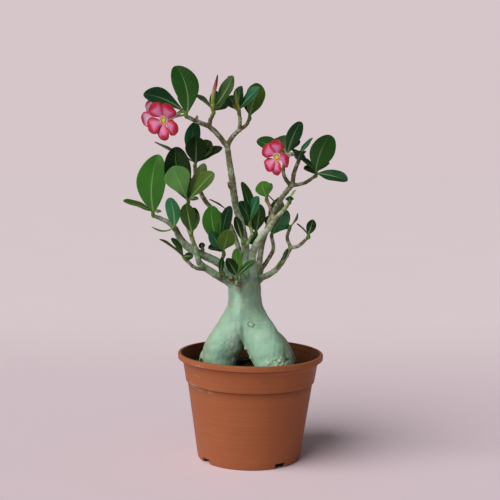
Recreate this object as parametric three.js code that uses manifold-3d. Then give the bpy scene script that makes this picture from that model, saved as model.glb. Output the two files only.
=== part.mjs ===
// Potted desert rose (Adenium obesum): a young plant with a two-legged swollen caudex,
// bare grey-green branches, rosettes of leathery obovate leaves, three open flowers and
// furled buds, in a plain 17 cm nursery pot full of potting soil.
// Units are millimetres, +Z is up, +X is to the right seen from the front, -Y is the front.
// The origin is the centre of the pot's flat underside.

import * as THREE from 'three';
import { mergeVertices } from 'three/addons/utils/BufferGeometryUtils.js';
import Module from 'manifold-3d';

const wasm = await Module();
wasm.setup();

// ---------------------------------------------------------------- driving dimensions

const POT_RIM_RADIUS = 85;
const POT_RIM_TOP = 123.5;
const POT_LIP_HEIGHT = 6.5;
const POT_BAND_RADIUS = 78.4;
const POT_BAND_TOP = 110;
const POT_LEDGE_HEIGHT = 91;
const POT_LEDGE_STEP = 2;
const POT_BODY_RADIUS = 73.4;
const POT_BASE_RADIUS = 60.5;
const POT_WALL = 2.2;
const POT_FLOOR = 2.5;
const POT_EDGE = 0.8;
const POT_FOOT_BEVEL = 2;
const POT_SEGMENTS = 36;
const DRAIN_COUNT = 4;
const DRAIN_WIDTH = 14;
const DRAIN_HEIGHT = 6;
const DRAIN_REACH = 9;
const DRAIN_TURN = 36;

const SOIL_TOP = 104;
const SOIL_SAG = 1.5;
const SOIL_EDGE = 1;

const MERGE_DISTANCE = 1e-4;
const SEAT_GAP = 0.3;
const HOLE_CLEARANCE = 0.4;
const END_BEVEL = 0.3;
const LEG_SIDES = 12;
const BRANCH_SIDES = 7;
const TWIG_SIDES = 5;
const TWIG_RADIUS = 3.5;

const BLADE_ROWS = 5;
const BLADE_FULLNESS = 0.75;
const BLADE_ROUNDING = 0.25;
const BLADE_POINT = 1.2;
const LEAF_THICKNESS = 1.4;
const LEAF_BROADEST = 1.4;
const LEAF_FOLD = 14;
const LEAF_ROOT_WIDTH = 2.6;

const TIP_RADIUS = 2.3;
const LOWEST_LEAF = 0.45;
const LEAF_STRETCH = 0.45;

const TUBE_LENGTH = 27;
const TUBE_FOOT_RADIUS = 1.7;
const THROAT_RADIUS = 5.4;
const TUBE_WALL = 0.9;
const TUBE_FLARE = 1.5;
const TUBE_BOTTOM = 0.35;
const TUBE_SIDES = 10;
const PETAL_REACH = 22;
const PETAL_WIDTH = 20;
const PETAL_ROOT_WIDTH = 6.5;
const PETAL_THICKNESS = 1.2;
const PETAL_BROADEST = 1.3;
const PETAL_LIFT = 4;
const PETAL_SUNK = 0.6;
const PETAL_DROP = 1;
const PETAL_ARCH = 0.12;
const PETAL_SWAY = 0.05;
const PETAL_TWIST = 12;
const CALYX_RADIUS = 2.6;
const CALYX_LENGTH = 4;
const PEDICEL_RADIUS = 1.2;

// ---------------------------------------------------------------- materials

const potPlastic = new THREE.MeshStandardMaterial({ color: 0xa4603f, roughness: 0.55, metalness: 0 });
const pottingSoil = new THREE.MeshStandardMaterial({ color: 0x2a1d14, roughness: 0.95, metalness: 0 });
const stemBark = new THREE.MeshStandardMaterial({ color: 0x8fae94, roughness: 0.6, metalness: 0 });
const leafGreen = new THREE.MeshStandardMaterial({ color: 0x2f5a2c, roughness: 0.4, metalness: 0 });
const petalPink = new THREE.MeshStandardMaterial({ color: 0xd8456f, roughness: 0.5, metalness: 0 });

// ---------------------------------------------------------------- solids

// A closed mesh as a solid: only its positions are kept, shared corners are merged, and
// triangles that had shrunk to nothing on an axis are left out.
function solid(geometry) {
  const bare = geometry.index ? geometry.toNonIndexed() : geometry.clone();
  bare.deleteAttribute('normal');
  bare.deleteAttribute('uv');
  const merged = mergeVertices(bare, MERGE_DISTANCE);
  const corners = merged.index.array;
  const triangles = [];
  for (let i = 0; i < corners.length; i += 3) {
    const [a, b, c] = [corners[i], corners[i + 1], corners[i + 2]];
    if (a !== b && b !== c && c !== a) {
      triangles.push(a, b, c);
    }
  }
  return new wasm.Manifold(new wasm.Mesh({
    numProp: 3,
    vertProperties: new Float32Array(merged.attributes.position.array),
    triVerts: new Uint32Array(triangles),
  }));
}

function solidFrom(points, triangles) {
  const geometry = new THREE.BufferGeometry();
  geometry.setFromPoints(points);
  geometry.setIndex(triangles);
  return solid(geometry);
}

// The largest body of a solid, without the loose scraps or sealed hollows of a join.
function soundBody(shape) {
  const bodies = shape.decompose();
  bodies.sort((a, b) => b.volume() - a.volume());
  return bodies[0];
}

function join(shapes) {
  return shapes.reduce((whole, shape) => whole.add(shape));
}

function geometryOf(shape) {
  const mesh = shape.getMesh();
  const geometry = new THREE.BufferGeometry();
  geometry.setAttribute('position', new THREE.BufferAttribute(new Float32Array(mesh.vertProperties), 3));
  geometry.setIndex(new THREE.BufferAttribute(new Uint32Array(mesh.triVerts), 1));
  geometry.computeVertexNormals();
  return geometry;
}

function vector([x, y, z]) {
  return new THREE.Vector3(x, y, z);
}

function radians(degrees) {
  return THREE.MathUtils.degToRad(degrees);
}

// Solid turned round the upright axis from a profile of [radius, height] that starts on the
// axis at the upper surface, runs outwards and over the edge, and comes back underneath.
function turned(profile, segments) {
  const outline = profile.map(([radius, height]) => new THREE.Vector2(radius, height));
  const geometry = new THREE.LatheGeometry(outline.reverse(), segments);
  geometry.rotateX(Math.PI / 2);
  return solid(geometry);
}

// Solid of round section along a smooth curve through stations [x, y, z, radius], with
// bevelled ends. Extra is added all round and past both ends.
function limb(stations, sides, stepsPerSpan, extra = 0) {
  const spine = new THREE.CatmullRomCurve3(stations.map(vector), false, 'catmullrom', 0.5);
  const spans = stations.length - 1;
  const steps = spans * stepsPerSpan;
  const points = [];
  const side = new THREE.Vector3(0.1, 1, 0);
  const ring = (centre, along, radius) => {
    side.addScaledVector(along, -side.dot(along)).normalize();
    const across = new THREE.Vector3().crossVectors(along, side);
    for (let i = 0; i < sides; i += 1) {
      const angle = (2 * Math.PI * i) / sides;
      points.push(centre.clone()
        .addScaledVector(side, radius * Math.cos(angle))
        .addScaledVector(across, radius * Math.sin(angle)));
    }
  };
  for (let i = 0; i <= steps; i += 1) {
    const span = Math.min(Math.floor(i / stepsPerSpan), spans - 1);
    const share = i / stepsPerSpan - span;
    const radius = stations[span][3] * (1 - share) + stations[span + 1][3] * share;
    const centre = spine.getPoint(i / steps);
    const along = spine.getTangent(i / steps);
    const bevel = END_BEVEL * radius;
    if (i === 0) {
      ring(centre.clone().addScaledVector(along, -extra), along, radius - bevel + extra);
      centre.addScaledVector(along, bevel - extra);
    }
    if (i === steps) {
      centre.addScaledVector(along, extra - bevel);
    }
    ring(centre, along, radius + extra);
    if (i === steps) {
      ring(centre.clone().addScaledVector(along, bevel), along, radius - bevel + extra);
    }
  }
  return closedTube(points, sides);
}

// Skin over rings of points, each with the same number of sides, with its ends filled by
// fans round their own centres.
function closedTube(points, sides) {
  const rings = points.length / sides;
  const triangles = [];
  for (let row = 0; row + 1 < rings; row += 1) {
    for (let i = 0; i < sides; i += 1) {
      const a = row * sides + i;
      const b = row * sides + ((i + 1) % sides);
      triangles.push(a, b, b + sides, a, b + sides, a + sides);
    }
  }
  const last = (rings - 1) * sides;
  for (const start of [0, last]) {
    const centre = new THREE.Vector3();
    for (let i = 0; i < sides; i += 1) {
      centre.addScaledVector(points[start + i], 1 / sides);
    }
    points.push(centre);
    for (let i = 0; i < sides; i += 1) {
      const a = start + i;
      const b = start + ((i + 1) % sides);
      triangles.push(points.length - 1, start ? a : b, start ? b : a);
    }
  }
  return solidFrom(points, triangles);
}

// Thin leaf or petal, thickest along its midrib. Its half-width swells from the root to the
// broadest place and closes round to a small point at the tip. The halves are folded up from the
// midrib, which bows towards the upper face, the one that looks along face, by arch times
// its length and sideways by sway times it. Top and underside are split along the same
// diagonals.
function blade({ root, tip, face, width, rootWidth, broadest, fold, arch, sway, thickness }) {
  const along = tip.clone().sub(root);
  const length = along.length();
  along.normalize();
  const up = face.clone().addScaledVector(along, -face.dot(along)).normalize();
  const across = new THREE.Vector3().crossVectors(along, up);
  const points = [];
  const triangles = [];
  const quad = (a, b, c, d) => triangles.push(a, c, b, a, d, c);
  for (let row = 0; row <= BLADE_ROWS; row += 1) {
    const t = Math.sin((Math.PI / 2) * (row / BLADE_ROWS));
    const fullness = BLADE_FULLNESS - BLADE_ROUNDING * t;
    const swell = Math.max(Math.sin(Math.PI * t ** broadest), 0) ** fullness;
    const half = Math.max(width * swell, rootWidth * (1 - t), BLADE_POINT) / 2;
    for (const [sideways, lift] of [[-1, 0], [0, 0.5], [1, 0], [0, -0.5]]) {
      points.push(root.clone()
        .addScaledVector(along, length * t)
        .addScaledVector(across, 4 * sway * length * t * (1 - t)
          + sideways * half * Math.cos(fold))
        .addScaledVector(up, 4 * arch * length * t * (1 - t)
          + Math.abs(sideways) * half * Math.sin(fold)
          + lift * thickness));
    }
    if (row > 0) {
      const at = 4 * (row - 1);
      quad(at + 1, at, at + 4, at + 5);
      quad(at + 1, at + 5, at + 6, at + 2);
      quad(at + 3, at + 7, at + 4, at);
      quad(at + 3, at + 2, at + 6, at + 7);
    }
  }
  const end = 4 * BLADE_ROWS;
  quad(0, 1, 2, 3);
  quad(end + 3, end + 2, end + 1, end);
  return solidFrom(points, triangles);
}

// ---------------------------------------------------------------- pot and soil

// Point [radius, height] on the inside of the pot's band, moved in by inset.
function bandInside(height, inset) {
  const foot = POT_LEDGE_HEIGHT + POT_LEDGE_STEP;
  const footRadius = POT_BODY_RADIUS + POT_LEDGE_STEP;
  const share = (height - foot) / (POT_BAND_TOP - foot);
  return [footRadius + (POT_BAND_RADIUS - footRadius) * share - POT_WALL - inset, height];
}

// Inner line of the pot's wall, from the floor up to the foot of the band, moved in by inset.
function bodyInside(inset) {
  const wall = POT_WALL + inset;
  return [
    [POT_BASE_RADIUS - POT_WALL - wall, POT_FLOOR + inset],
    [POT_BASE_RADIUS - wall, 2 * POT_FLOOR],
    [POT_BODY_RADIUS - wall, POT_LEDGE_HEIGHT],
    bandInside(POT_LEDGE_HEIGHT + POT_LEDGE_STEP, inset),
  ];
}

// The notches at the foot let water out of the pot.
function makePot() {
  const shell = turned([
    [0, POT_FLOOR],
    ...bodyInside(0),
    bandInside(POT_BAND_TOP, 0),
    [POT_RIM_RADIUS - 2 * POT_WALL, POT_RIM_TOP],
    [POT_RIM_RADIUS - POT_EDGE, POT_RIM_TOP],
    [POT_RIM_RADIUS, POT_RIM_TOP - POT_EDGE],
    [POT_RIM_RADIUS - POT_EDGE, POT_RIM_TOP - POT_LIP_HEIGHT],
    [POT_BAND_RADIUS, POT_BAND_TOP],
    [POT_BODY_RADIUS + POT_LEDGE_STEP, POT_LEDGE_HEIGHT],
    [POT_BODY_RADIUS, POT_LEDGE_HEIGHT - POT_EDGE],
    [POT_BASE_RADIUS, POT_FOOT_BEVEL],
    [POT_BASE_RADIUS - POT_FOOT_BEVEL, 0],
    [0, 0],
  ], POT_SEGMENTS);
  const notch = new THREE.BoxGeometry(2 * DRAIN_REACH, DRAIN_WIDTH, 2 * DRAIN_HEIGHT);
  notch.translate(POT_BASE_RADIUS, 0, 0);
  const notches = [];
  for (let i = 0; i < DRAIN_COUNT; i += 1) {
    const turn = radians(DRAIN_TURN) + (2 * Math.PI * i) / DRAIN_COUNT;
    notches.push(solid(notch.clone().rotateZ(turn)));
  }
  return shell.subtract(join(notches));
}

// The soil fills the pot and sags a little in the middle. The stems stand in its holes.
function makeSoil() {
  const edge = bandInside(SOIL_TOP - SOIL_EDGE, SEAT_GAP);
  const heap = turned([
    [0, SOIL_TOP - SOIL_SAG],
    [POT_BAND_RADIUS / 2, SOIL_TOP - SOIL_SAG],
    [edge[0] - 2 * SOIL_EDGE, SOIL_TOP],
    edge,
    ...bodyInside(SEAT_GAP).reverse(),
    [0, POT_FLOOR + SEAT_GAP],
  ], POT_SEGMENTS);
  return heap.subtract(join(undergroundParts(HOLE_CLEARANCE)));
}

// ---------------------------------------------------------------- caudex and branches

// Every stem is a list of stations [x, y, z, radius] along its middle.
// The two legs share the neck and part at the crotch; the right one stands in front.
const LEGS = [
  [[-9, 0, 217, 10], [-9, 0, 205, 18.2], [-8, 0, 187, 19.4], [-9, 1, 173, 20], [-15, 3, 158, 20.5],
    [-22, 6, 145, 21], [-29, 9, 133, 21.2], [-35, 12, 122, 21.2], [-37, 14, 108, 20.3],
    [-40, 15, 91, 17], [-43, 16, 74, 10]],
  [[-9, 0, 215, 11], [-8, 0, 203, 18.2], [-8, 0, 187, 19.4], [-5, -2, 172, 19.8], [1.5, -5, 157, 20.5],
    [9.5, -9, 145, 21.5], [16.5, -13, 134, 22], [23.5, -16, 123, 22.3], [29, -18, 110, 22],
    [34, -19, 93, 18], [38, -20, 77, 10]],
];

const ROOTS = [
  [[23, 4, 148, 5.5], [33, 6, 139, 6], [43, 7, 126, 5.3], [50, 9, 111, 4.8], [53, 10, 97, 4],
    [54, 10, 86, 3]],
  [[-46, 16, 124, 6], [-54, 18, 117, 5], [-58, 19, 107, 4], [-60, 20, 97, 3.4], [-61, 20, 86, 2.6]],
];

const BRANCHES = [
  // leader with its two forks at the top
  [[-5, 3, 196, 9], [-6, 5, 212, 5.6], [-7, 8, 237, 4.9], [-10, 8, 257, 4.6], [-15, 8, 278, 4.4],
    [-21, 8, 298, 4.2], [-25, 8, 324, 4], [-29, 8, 348, 3.5], [-32, 6, 368, 3.4]],
  [[-25, 8, 312, 1.3], [-29, 6, 317, 1.1], [-30, 5, 322, 0.9]],
  [[-31, 7, 362, 3], [-41, 2, 375, 3.1], [-52, -4, 385, 2.9], [-65, -9, 390, 2.5], [-76, -13, 395, 2.4]],
  [[-52, -4, 384, 2.4], [-51, -5, 392, 2.5], [-48, -6, 399, 2.3]],
  [[-66, -9, 390, 1.8], [-66, -10, 397, 1.5]],
  [[-32, 7, 363, 3], [-25, 7, 375, 2.8], [-16, 8, 384, 2.6]],
  [[-18, 8, 382, 2.3], [-17, 6, 392, 2.2], [-18, 4, 400, 2.2]],
  [[-18, 8, 382, 2.2], [-10, 10, 388, 2.2], [-7, 11, 394, 2.1]],
  // left side, back to front
  [[-8, 6, 216, 4], [-20, 18, 255, 3], [-31, 24, 276, 2.9], [-50, 27, 291, 2.8], [-60, 25, 304, 2.7],
    [-67, 22, 320, 2.6], [-69, 18, 338, 2.5]],
  [[-14, -1, 200, 9], [-24, -3, 216, 6.5], [-35, -6, 226, 5.2], [-46, -10, 233, 4.8], [-57, -14, 238, 4.6],
    [-72, -16, 246, 4.6], [-82, -16, 255, 4.3], [-89, -16, 268, 3.4], [-98, -17, 276, 2.8],
    [-112, -18, 282, 2.2]],
  [[-15, -4, 195, 8], [-25, -8, 206, 5.6], [-37, -12, 213, 4.6], [-49, -18, 221, 4.2], [-60, -24, 230, 3.6],
    [-64, -26, 245, 2.8], [-67, -29, 254, 2.5], [-69, -31, 261, 2.3]],
  [[-65, -25, 246, 2.3], [-73, -19, 267, 2.2], [-78, -19, 280, 2.2], [-79, -21, 289, 2.3],
    [-75, -22, 296, 2.1]],
  [[-86, -16, 262, 2.4], [-88, -19, 265, 2.2], [-89, -22, 267, 2]],
  [[-50, -19, 222, 2.6], [-60, -30, 224, 2.2], [-67, -34, 227, 2.1], [-74, -36, 234, 2]],
  [[-30, 23, 275, 1.8], [-28, 21, 282, 1.7], [-29, 20, 287, 1.6]],
  [[-57, -14, 239, 2.2], [-57, -16, 241, 1.8], [-57, -17, 243, 1.6]],
  [[-36, -12, 213, 2.4], [-37, -19, 213, 2.1], [-37, -24, 215, 1.9]],
  // short shoots in the heart of the crown
  [[-26, -8, 205, 4], [-34, -18, 217, 2.8], [-36, -25, 229, 2.3], [-33, -28, 239, 2.1]],
  [[-12, -14, 196, 5], [-16, -20, 204, 3.2], [-17, -23, 211, 2.6]],
  [[-20, -9, 204, 3.5], [-23, -15, 210, 3.4], [-24, -19, 214, 3]],
  [[-8, -12, 200, 6], [-12, -18, 220, 2.8], [-13, -22, 238, 2.3], [-8, -25, 250, 2.1],
    [-1, -25, 263, 2], [-3, -22, 272, 1.9]],
  [[-9, -24, 247, 1.8], [-11, -28, 249, 1.7], [-11, -30, 253, 1.6]],
  // right side: the pale bent branch, the tall leader, the brown shoots behind, the low limb
  [[-2, -5, 198, 9], [1, -12, 220, 5], [0, -19, 237, 4.5], [3, -24, 250, 4.2], [10, -28, 262, 3.8],
    [18, -27, 271, 3.5], [25, -25, 282, 3], [33, -22, 290, 2.4], [40, -18, 299, 2.2]],
  [[23, -25, 280, 2.4], [20, -22, 292, 2.1], [16, -18, 301, 2]],
  [[2, 5, 198, 8], [7, 9, 216, 4.6], [9, 14, 233, 3.7], [12, 20, 252, 3.4], [19, 22, 273, 3.3],
    [26, 20, 291, 3.2], [35, 16, 307, 3.1], [45, 10, 320, 3]],
  [[27, 20, 293, 1.6], [29, 18, 301, 1.3], [28, 17, 305, 1]],
  [[29, 19, 297, 0.9], [23, 16, 302, 0.8], [17, 14, 308, 0.6]],
  [[44, 11, 318, 2.6], [36, 5, 329, 2.3], [34, 3, 339, 2.2], [38, 2, 350, 2]],
  [[45, 10, 318, 2.8], [47, 10, 334, 2.6], [51, 8, 346, 2.4]],
  [[44, 10, 319, 2.4], [54, 8, 321, 2.2], [62, 5, 324, 2.1], [70, 2, 330, 2]],
  [[5, 8, 200, 5], [11, 14, 219, 3], [19, 22, 231, 2.5], [25, 28, 243, 2.4], [23, 30, 256, 2.1]],
  [[0, 8, 200, 5], [1, 20, 222, 2.9], [2, 30, 240, 2.4], [4, 36, 258, 2.1]],
  [[-2, 2, 198, 8], [10, 4, 210, 4.2], [20, 4, 215, 3.6], [30, 4, 223, 3.2], [39, 2, 237, 3],
    [45, 0, 249, 2.6]],
  [[45, 0, 246, 2.2], [40, -2, 259, 2.1], [42, -3, 268, 1.9]],
  [[44, 0, 247, 2.2], [54, -2, 250, 2.1], [63, -5, 259, 1.9]],
  [[28, 4, 222, 2.2], [29, 1, 224, 2.1], [31, -2, 227, 1.9]],
];

function undergroundParts(extra) {
  return [
    ...LEGS.map((stations) => limb(stations, LEG_SIDES, 2, extra)),
    ...ROOTS.map((stations) => limb(stations, BRANCH_SIDES, 1, extra)),
  ];
}

function makeStems() {
  const branches = BRANCHES.map((stations) => {
    const sides = stations[0][3] > TWIG_RADIUS ? BRANCH_SIDES : TWIG_SIDES;
    return limb(stations, sides, 1);
  });
  return soundBody(join([...undergroundParts(0), ...branches]));
}

// ---------------------------------------------------------------- leafy shoots

// A shoot sits on the end of its twig at foot and grows a short green tip along aim.
// Each leaf is [x, y, z, width, turn, arch, sway, broadest]: the place of its tip from the
// foot, its width, the turn in degrees of its upper face about its own length, 0 facing the
// front and positive to the right of a leaf that points up, and how its midrib bows. Sway
// is 0 if left out, and a leaf with a broadest above the usual is widest nearer its tip.
// Budlets are small flower buds, lists of stations [x, y, z, radius] from the foot.
const SHOOTS = {
  top_left: {
    foot: [-76, -13, 395],
    aim: [-3, -1, 6],
    leaves: [
      [-14, 2, 58, 31, 12, 0.03, 0.1],
      [-49, -16, 24, 24, 35, 0.03, 0.08, 1.9],
      [-5, 36, 33, 20, 0, 0.06],
      [-8, 30, 10, 16, 0, 0.1],
    ],
  },
  top_spur: {
    foot: [-48, -6, 399],
    aim: [0, 0, 8],
    leaves: [
      [4, 32, 29, 15, 30, -0.1],
      [16, 34, 22, 16, -20, -0.1],
      [-24, 6, 23, 20, 74, 0.03],
      [22, -3, 44, 18, -32, 0.04, 0.1],
    ],
    budlets: [
      [[0, 0, 3, 1.6], [-2, -2, 9, 1.6], [-3, -3, 13, 0.9]],
    ],
  },
  top_fork_left: {
    foot: [-18, 4, 400],
    aim: [0, 0, 8],
    leaves: [
      [-14, 8, 21, 20, 30, 0.05],
      [1, 6, 33, 20, -50, 0.05],
      [23, -12, 30, 20, -50, 0.04],
      [-4, 24, 22, 18, -10, 0.1],
    ],
    budlets: [
      [[0, 0, 4, 1.8], [-3, -4, 14, 2.2], [-4, -5, 23, 1.6], [-4, -5, 26, 0.8]],
      [[0, 0, 3, 1.6], [-6, -5, 9, 1.6], [-7, -6, 13, 0.9]],
    ],
  },
  top_fork_right: {
    foot: [-7, 11, 394],
    aim: [1, 1, 8],
    leaves: [
      [11, 8, 43, 26, 28, 0.05, -0.04],
      [3, 28, 24, 19, -10, 0.1],
    ],
  },
  left_back: {
    foot: [-69, 18, 338],
    aim: [1, -1, 8],
    leaves: [
      [0, 8, 54, 20, 25, 0.05, -0.12],
      [1, -6, 36, 27, 10, 0.1],
      [17, 2, 32, 21, -20, 0.05, 0, 1.7],
      [31, 10, 25, 20, -52, 0.04],
      [-47, -10, 29, 18, 84, -0.02],
      [8, 30, 20, 19, -10, 0.1],
    ],
  },
  left_upper: {
    foot: [-75, -22, 296],
    aim: [2, -2, 7],
    leaves: [
      [-15, -22, 43, 30, 4, 0.1, 0, 2.7],
      [-14, -3, 65, 32, 15, 0.05, -0.08],
      [30, -10, 37, 20, -30, 0.04, 0, 2],
      [19, 4, 47, 16, 170, 0.04],
      [13, -12, 7, 8, -60, 0.04],
      [-7, 24, 30, 22, 0, 0.1],
    ],
  },
  left_inner: {
    foot: [-69, -31, 261],
    aim: [1, -1, 8],
    leaves: [
      [-6, -8, 37, 19, -8, 0.05],
      [8, -8, 26, 13, -30, 0.05],
      [2, 8, 32, 13, 20, 0.05],
    ],
  },
  left_end: {
    foot: [-112, -18, 282],
    aim: [-3, -1, 8],
    leaves: [
      [4, -10, 70, 35, -8, 0.05, -0.06, 1.15],
      [-35, -10, 17, 20, 74, 0.03],
      [-9, 26, 48, 25, 5, 0.1],
      [8, -6, 6, 4, 0, 0.02],
    ],
  },
  left_spur: {
    foot: [-89, -22, 267],
    aim: [0, -6, 5],
    leaves: [
      [-5, -8, 37, 19, -20, 0.05, 0.08],
      [-25, -12, 4, 8, 82, -0.2],
    ],
  },
  left_knee: {
    foot: [-57, -17, 243],
    aim: [0, -1, 4],
    leaves: [
      [-2, -3, 10, 8, 10, 0.05],
    ],
  },
  left_base: {
    foot: [-37, -24, 215],
    aim: [0, -1, 5],
    leaves: [
      [2, -9, 23, 8, 35, 0.05],
    ],
  },
  low_left: {
    foot: [-74, -36, 234],
    aim: [-5, -1, 6],
    leaves: [
      [-30, -9, 24, 12, 84, 0.03],
      [-17, -11, 25, 14, 66, 0.03],
      [8, -8, 6, 9, 0, 0.05],
    ],
  },
  heart_left: {
    foot: [-33, -28, 239],
    aim: [0, -2, 8],
    leaves: [
      [-14, -12, 57, 23, -8, 0.05, -0.06, 2.1],
      [-15, -20, 29, 15, 10, 0.05],
      [7, -6, 57, 16, 20, 0.05, -0.1, 1.8],
      [-16, -18, 10, 13, 60, 0.05],
      [6, -26, 31, 20, 8, 0.1, 0, 1.8],
    ],
  },
  heart_back: {
    foot: [-29, 20, 287],
    aim: [-3, 0, 4],
    leaves: [
      [-23, -2, 14, 9, 82, 0.02],
    ],
  },
  heart_front: {
    foot: [-17, -23, 211],
    aim: [0, -3, 6],
    leaves: [
      [-2, -10, 37, 12, 5, 0.05],
      [20, -13, 24, 11, -55, 0.05],
      [-12, -14, 26, 13, 20, 0.05],
    ],
  },
  heart_shoot: {
    foot: [-3, -22, 272],
    aim: [0, -1, 8],
    leaves: [
      [-11, -4, 51, 18, 50, 0.06],
      [-13, -12, 29, 17, 40, 0.05],
      [9, -10, 35, 19, -50, 0.05],
    ],
  },
  heart_side: {
    foot: [-11, -30, 253],
    aim: [-1, 0, 5],
    leaves: [
      [-9, 0, 31, 11, 20, 0.03],
    ],
  },
  pale_twig_end: {
    foot: [16, -18, 301],
    aim: [-1, -1, 8],
    leaves: [
      [-7, -8, 23, 19, 0, 0.06, -0.04, 1.8],
      [3, 8, 21, 10, -20, 0.05],
    ],
  },
  pale_end: {
    foot: [40, -18, 299],
    aim: [2, -2, 7],
    leaves: [
      [1, -10, 9, 10, 0, 0.05],
      [8, 4, 16, 5, -60, 0.05],
    ],
  },
  right_back: {
    foot: [23, 30, 256],
    aim: [0, 2, 8],
    leaves: [
      [17, 0, 34, 23, -10, 0.06],
      [8, 6, 47, 20, 0, 0.06],
      [0, 24, 26, 19, -5, 0.1],
      [18, 24, 18, 19, -25, 0.1],
    ],
  },
  middle_back: {
    foot: [4, 36, 258],
    aim: [0, 2, 8],
    leaves: [
      [4, -4, 38, 17, 15, 0.05],
      [-6, -5, 24, 15, 40, 0.05],
      [-16, 18, 26, 20, 15, 0.1],
      [-7, -14, -9, 11, -30, 0.05],
    ],
  },
  right_fork: {
    foot: [38, 2, 350],
    aim: [0, 1, 7],
    leaves: [
      [-35, -2, 21, 22, 40, 0.05, 0, 1.8],
      [-11, 14, 25, 29, 8, 0.08],
      [15, -2, 43, 18, 15, 0.04, -0.06],
      [9, 28, 24, 20, -15, 0.1],
    ],
  },
  right_middle: {
    foot: [51, 8, 346],
    aim: [0, -2, 7],
    leaves: [
      [3, -18, 13, 17, -10, 0.08],
      [17, 6, 29, 11, -62, 0.04],
      [2, 26, 14, 18, -5, 0.1],
    ],
  },
  right_end: {
    foot: [70, 2, 330],
    aim: [3, 0, 7],
    leaves: [
      [17, -6, 48, 32, 22, 0.05, -0.11],
      [37, -16, -3, 20, -45, 0.03],
      [-16, -17, 20, 13, 60, 0.04],
      [-13, -19, 9, 12, 50, 0.04],
      [12, 26, 19, 20, -20, 0.1],
    ],
  },
  low_right: {
    foot: [63, -5, 259],
    aim: [1, -1, 7],
    leaves: [
      [6, -4, 22, 12, 10, 0.05],
      [-13, -8, 17, 6, 75, 0.03],
    ],
  },
  low_right_bud: {
    foot: [42, -3, 268],
    aim: [2, -1, 6],
    leaves: [
      [9, -6, 20, 11, 76, 0.04],
    ],
  },
  low_right_spur: {
    foot: [31, -2, 227],
    aim: [2, -3, 5],
    leaves: [
      [9, -8, 20, 9, 50, 0.04],
    ],
  },
};

// Each corolla stands on its calyx at base and opens along aim. Its stalk leaves the named
// shoot and passes bend. Petals are listed by their angles round the throat, seen from the
// open side, 0 to the right, and spread is their size against the usual one.
const COROLLAS = {
  corolla_front: {
    shoot: 'top_left',
    base: [-88, -20, 396.5],
    aim: [-0.47, -0.85, -0.26],
    bend: [-83, -15, 401.5],
    petals: [-155, -92, -30, 54, 120],
    spread: 1,
  },
  corolla_behind: {
    shoot: 'top_left',
    base: [-94, -7, 395.5],
    aim: [-0.76, 0.65, 0.05],
    bend: [-83, -11, 397],
    petals: [-160, -88, -16, 56, 128],
    spread: 0.92,
  },
  corolla_right: {
    shoot: 'right_middle',
    base: [43.5, -5, 355.5],
    aim: [-0.66, -0.73, -0.15],
    bend: [48, 3, 355],
    petals: [-137, -84, -8, 80, 146],
    spread: 0.92,
  },
};

// A furled bud stands on its calyx too: stations [x, y, z, radius] up to its twisted point.
const BUDS = {
  furled_bud_tall: {
    shoot: 'top_spur',
    stations: [[-48, -11, 410, 2], [-48, -13, 418, 2.3], [-46, -14, 428, 2.2], [-44, -14, 437, 1.5],
      [-43, -14, 443, 0.6]],
  },
  furled_bud_behind: {
    shoot: 'top_spur',
    stations: [[-45, 0, 410, 1.8], [-42, 2, 417, 2], [-37.5, 4, 427, 2], [-33.5, 6.5, 437, 1.4],
      [-31, 8, 444, 0.6]],
  },
};

// Stations of the green stalk and calyx under a flower or a bud that starts at base along
// aim: from the middle of the shoot's tip, past the bend, to just short of the base.
function stalk(tipMiddle, bend, base, aim) {
  const calyxFoot = base.clone().addScaledVector(aim, -CALYX_LENGTH - SEAT_GAP);
  const calyxTop = base.clone().addScaledVector(aim, -SEAT_GAP);
  return [
    [...tipMiddle, PEDICEL_RADIUS],
    ...bend.map((point) => [...point, PEDICEL_RADIUS]),
    [...calyxFoot, PEDICEL_RADIUS],
    [...calyxTop, CALYX_RADIUS],
  ];
}

function stalksOf(name, foot, aim) {
  const tipMiddle = vector(foot).addScaledVector(vector(aim), 0.5);
  const stalks = [];
  for (const corolla of Object.values(COROLLAS).filter(({ shoot }) => shoot === name)) {
    stalks.push(stalk(tipMiddle, [corolla.bend], vector(corolla.base), vector(corolla.aim).normalize()));
  }
  for (const { stations } of Object.values(BUDS).filter(({ shoot }) => shoot === name)) {
    const base = vector(stations[0]);
    stalks.push(stalk(tipMiddle, [], base, vector(stations[1]).sub(base).normalize()));
  }
  return stalks.map((stations) => limb(stations, TWIG_SIDES, 1).translate(foot.map((part) => -part)));
}

// The direction in which the twig that ends at foot grows.
function twigDirection(foot) {
  const twig = BRANCHES.find((stations) => vector(stations.at(-1)).equals(vector(foot)));
  return vector(foot).sub(vector(twig.at(-2))).normalize();
}

function makeLeaf(root, [x, y, z, width, turn, arch, sway = 0, broadest = LEAF_BROADEST]) {
  const tip = new THREE.Vector3(x, y, z);
  const along = tip.clone().sub(root).normalize();
  const front = new THREE.Vector3(0, -1, 0);
  front.addScaledVector(along, -front.dot(along)).normalize();
  return blade({
    root,
    tip,
    face: front.applyAxisAngle(along, radians(turn)),
    width,
    rootWidth: LEAF_ROOT_WIDTH,
    broadest,
    fold: radians(LEAF_FOLD),
    arch,
    sway,
    thickness: LEAF_THICKNESS,
  });
}

function makeShoot(name, { foot, aim, leaves, budlets = [] }) {
  const rise = twigDirection(foot);
  const tip = limb([
    [...rise.clone().multiplyScalar(SEAT_GAP), TIP_RADIUS],
    [...rise.clone().multiplyScalar(TIP_RADIUS), TIP_RADIUS],
    [...aim, TIP_RADIUS / 2],
  ], TWIG_SIDES, 1);
  const blades = leaves.map((leaf, i) => {
    const height = LOWEST_LEAF + (LEAF_STRETCH * i) / leaves.length;
    return makeLeaf(vector(aim).multiplyScalar(height), leaf);
  });
  const small = budlets.map((stations) => limb(stations, TWIG_SIDES, 1));
  const green = join([tip, ...blades, ...small, ...stalksOf(name, foot, aim)]);
  return soundBody(green);
}

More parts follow.
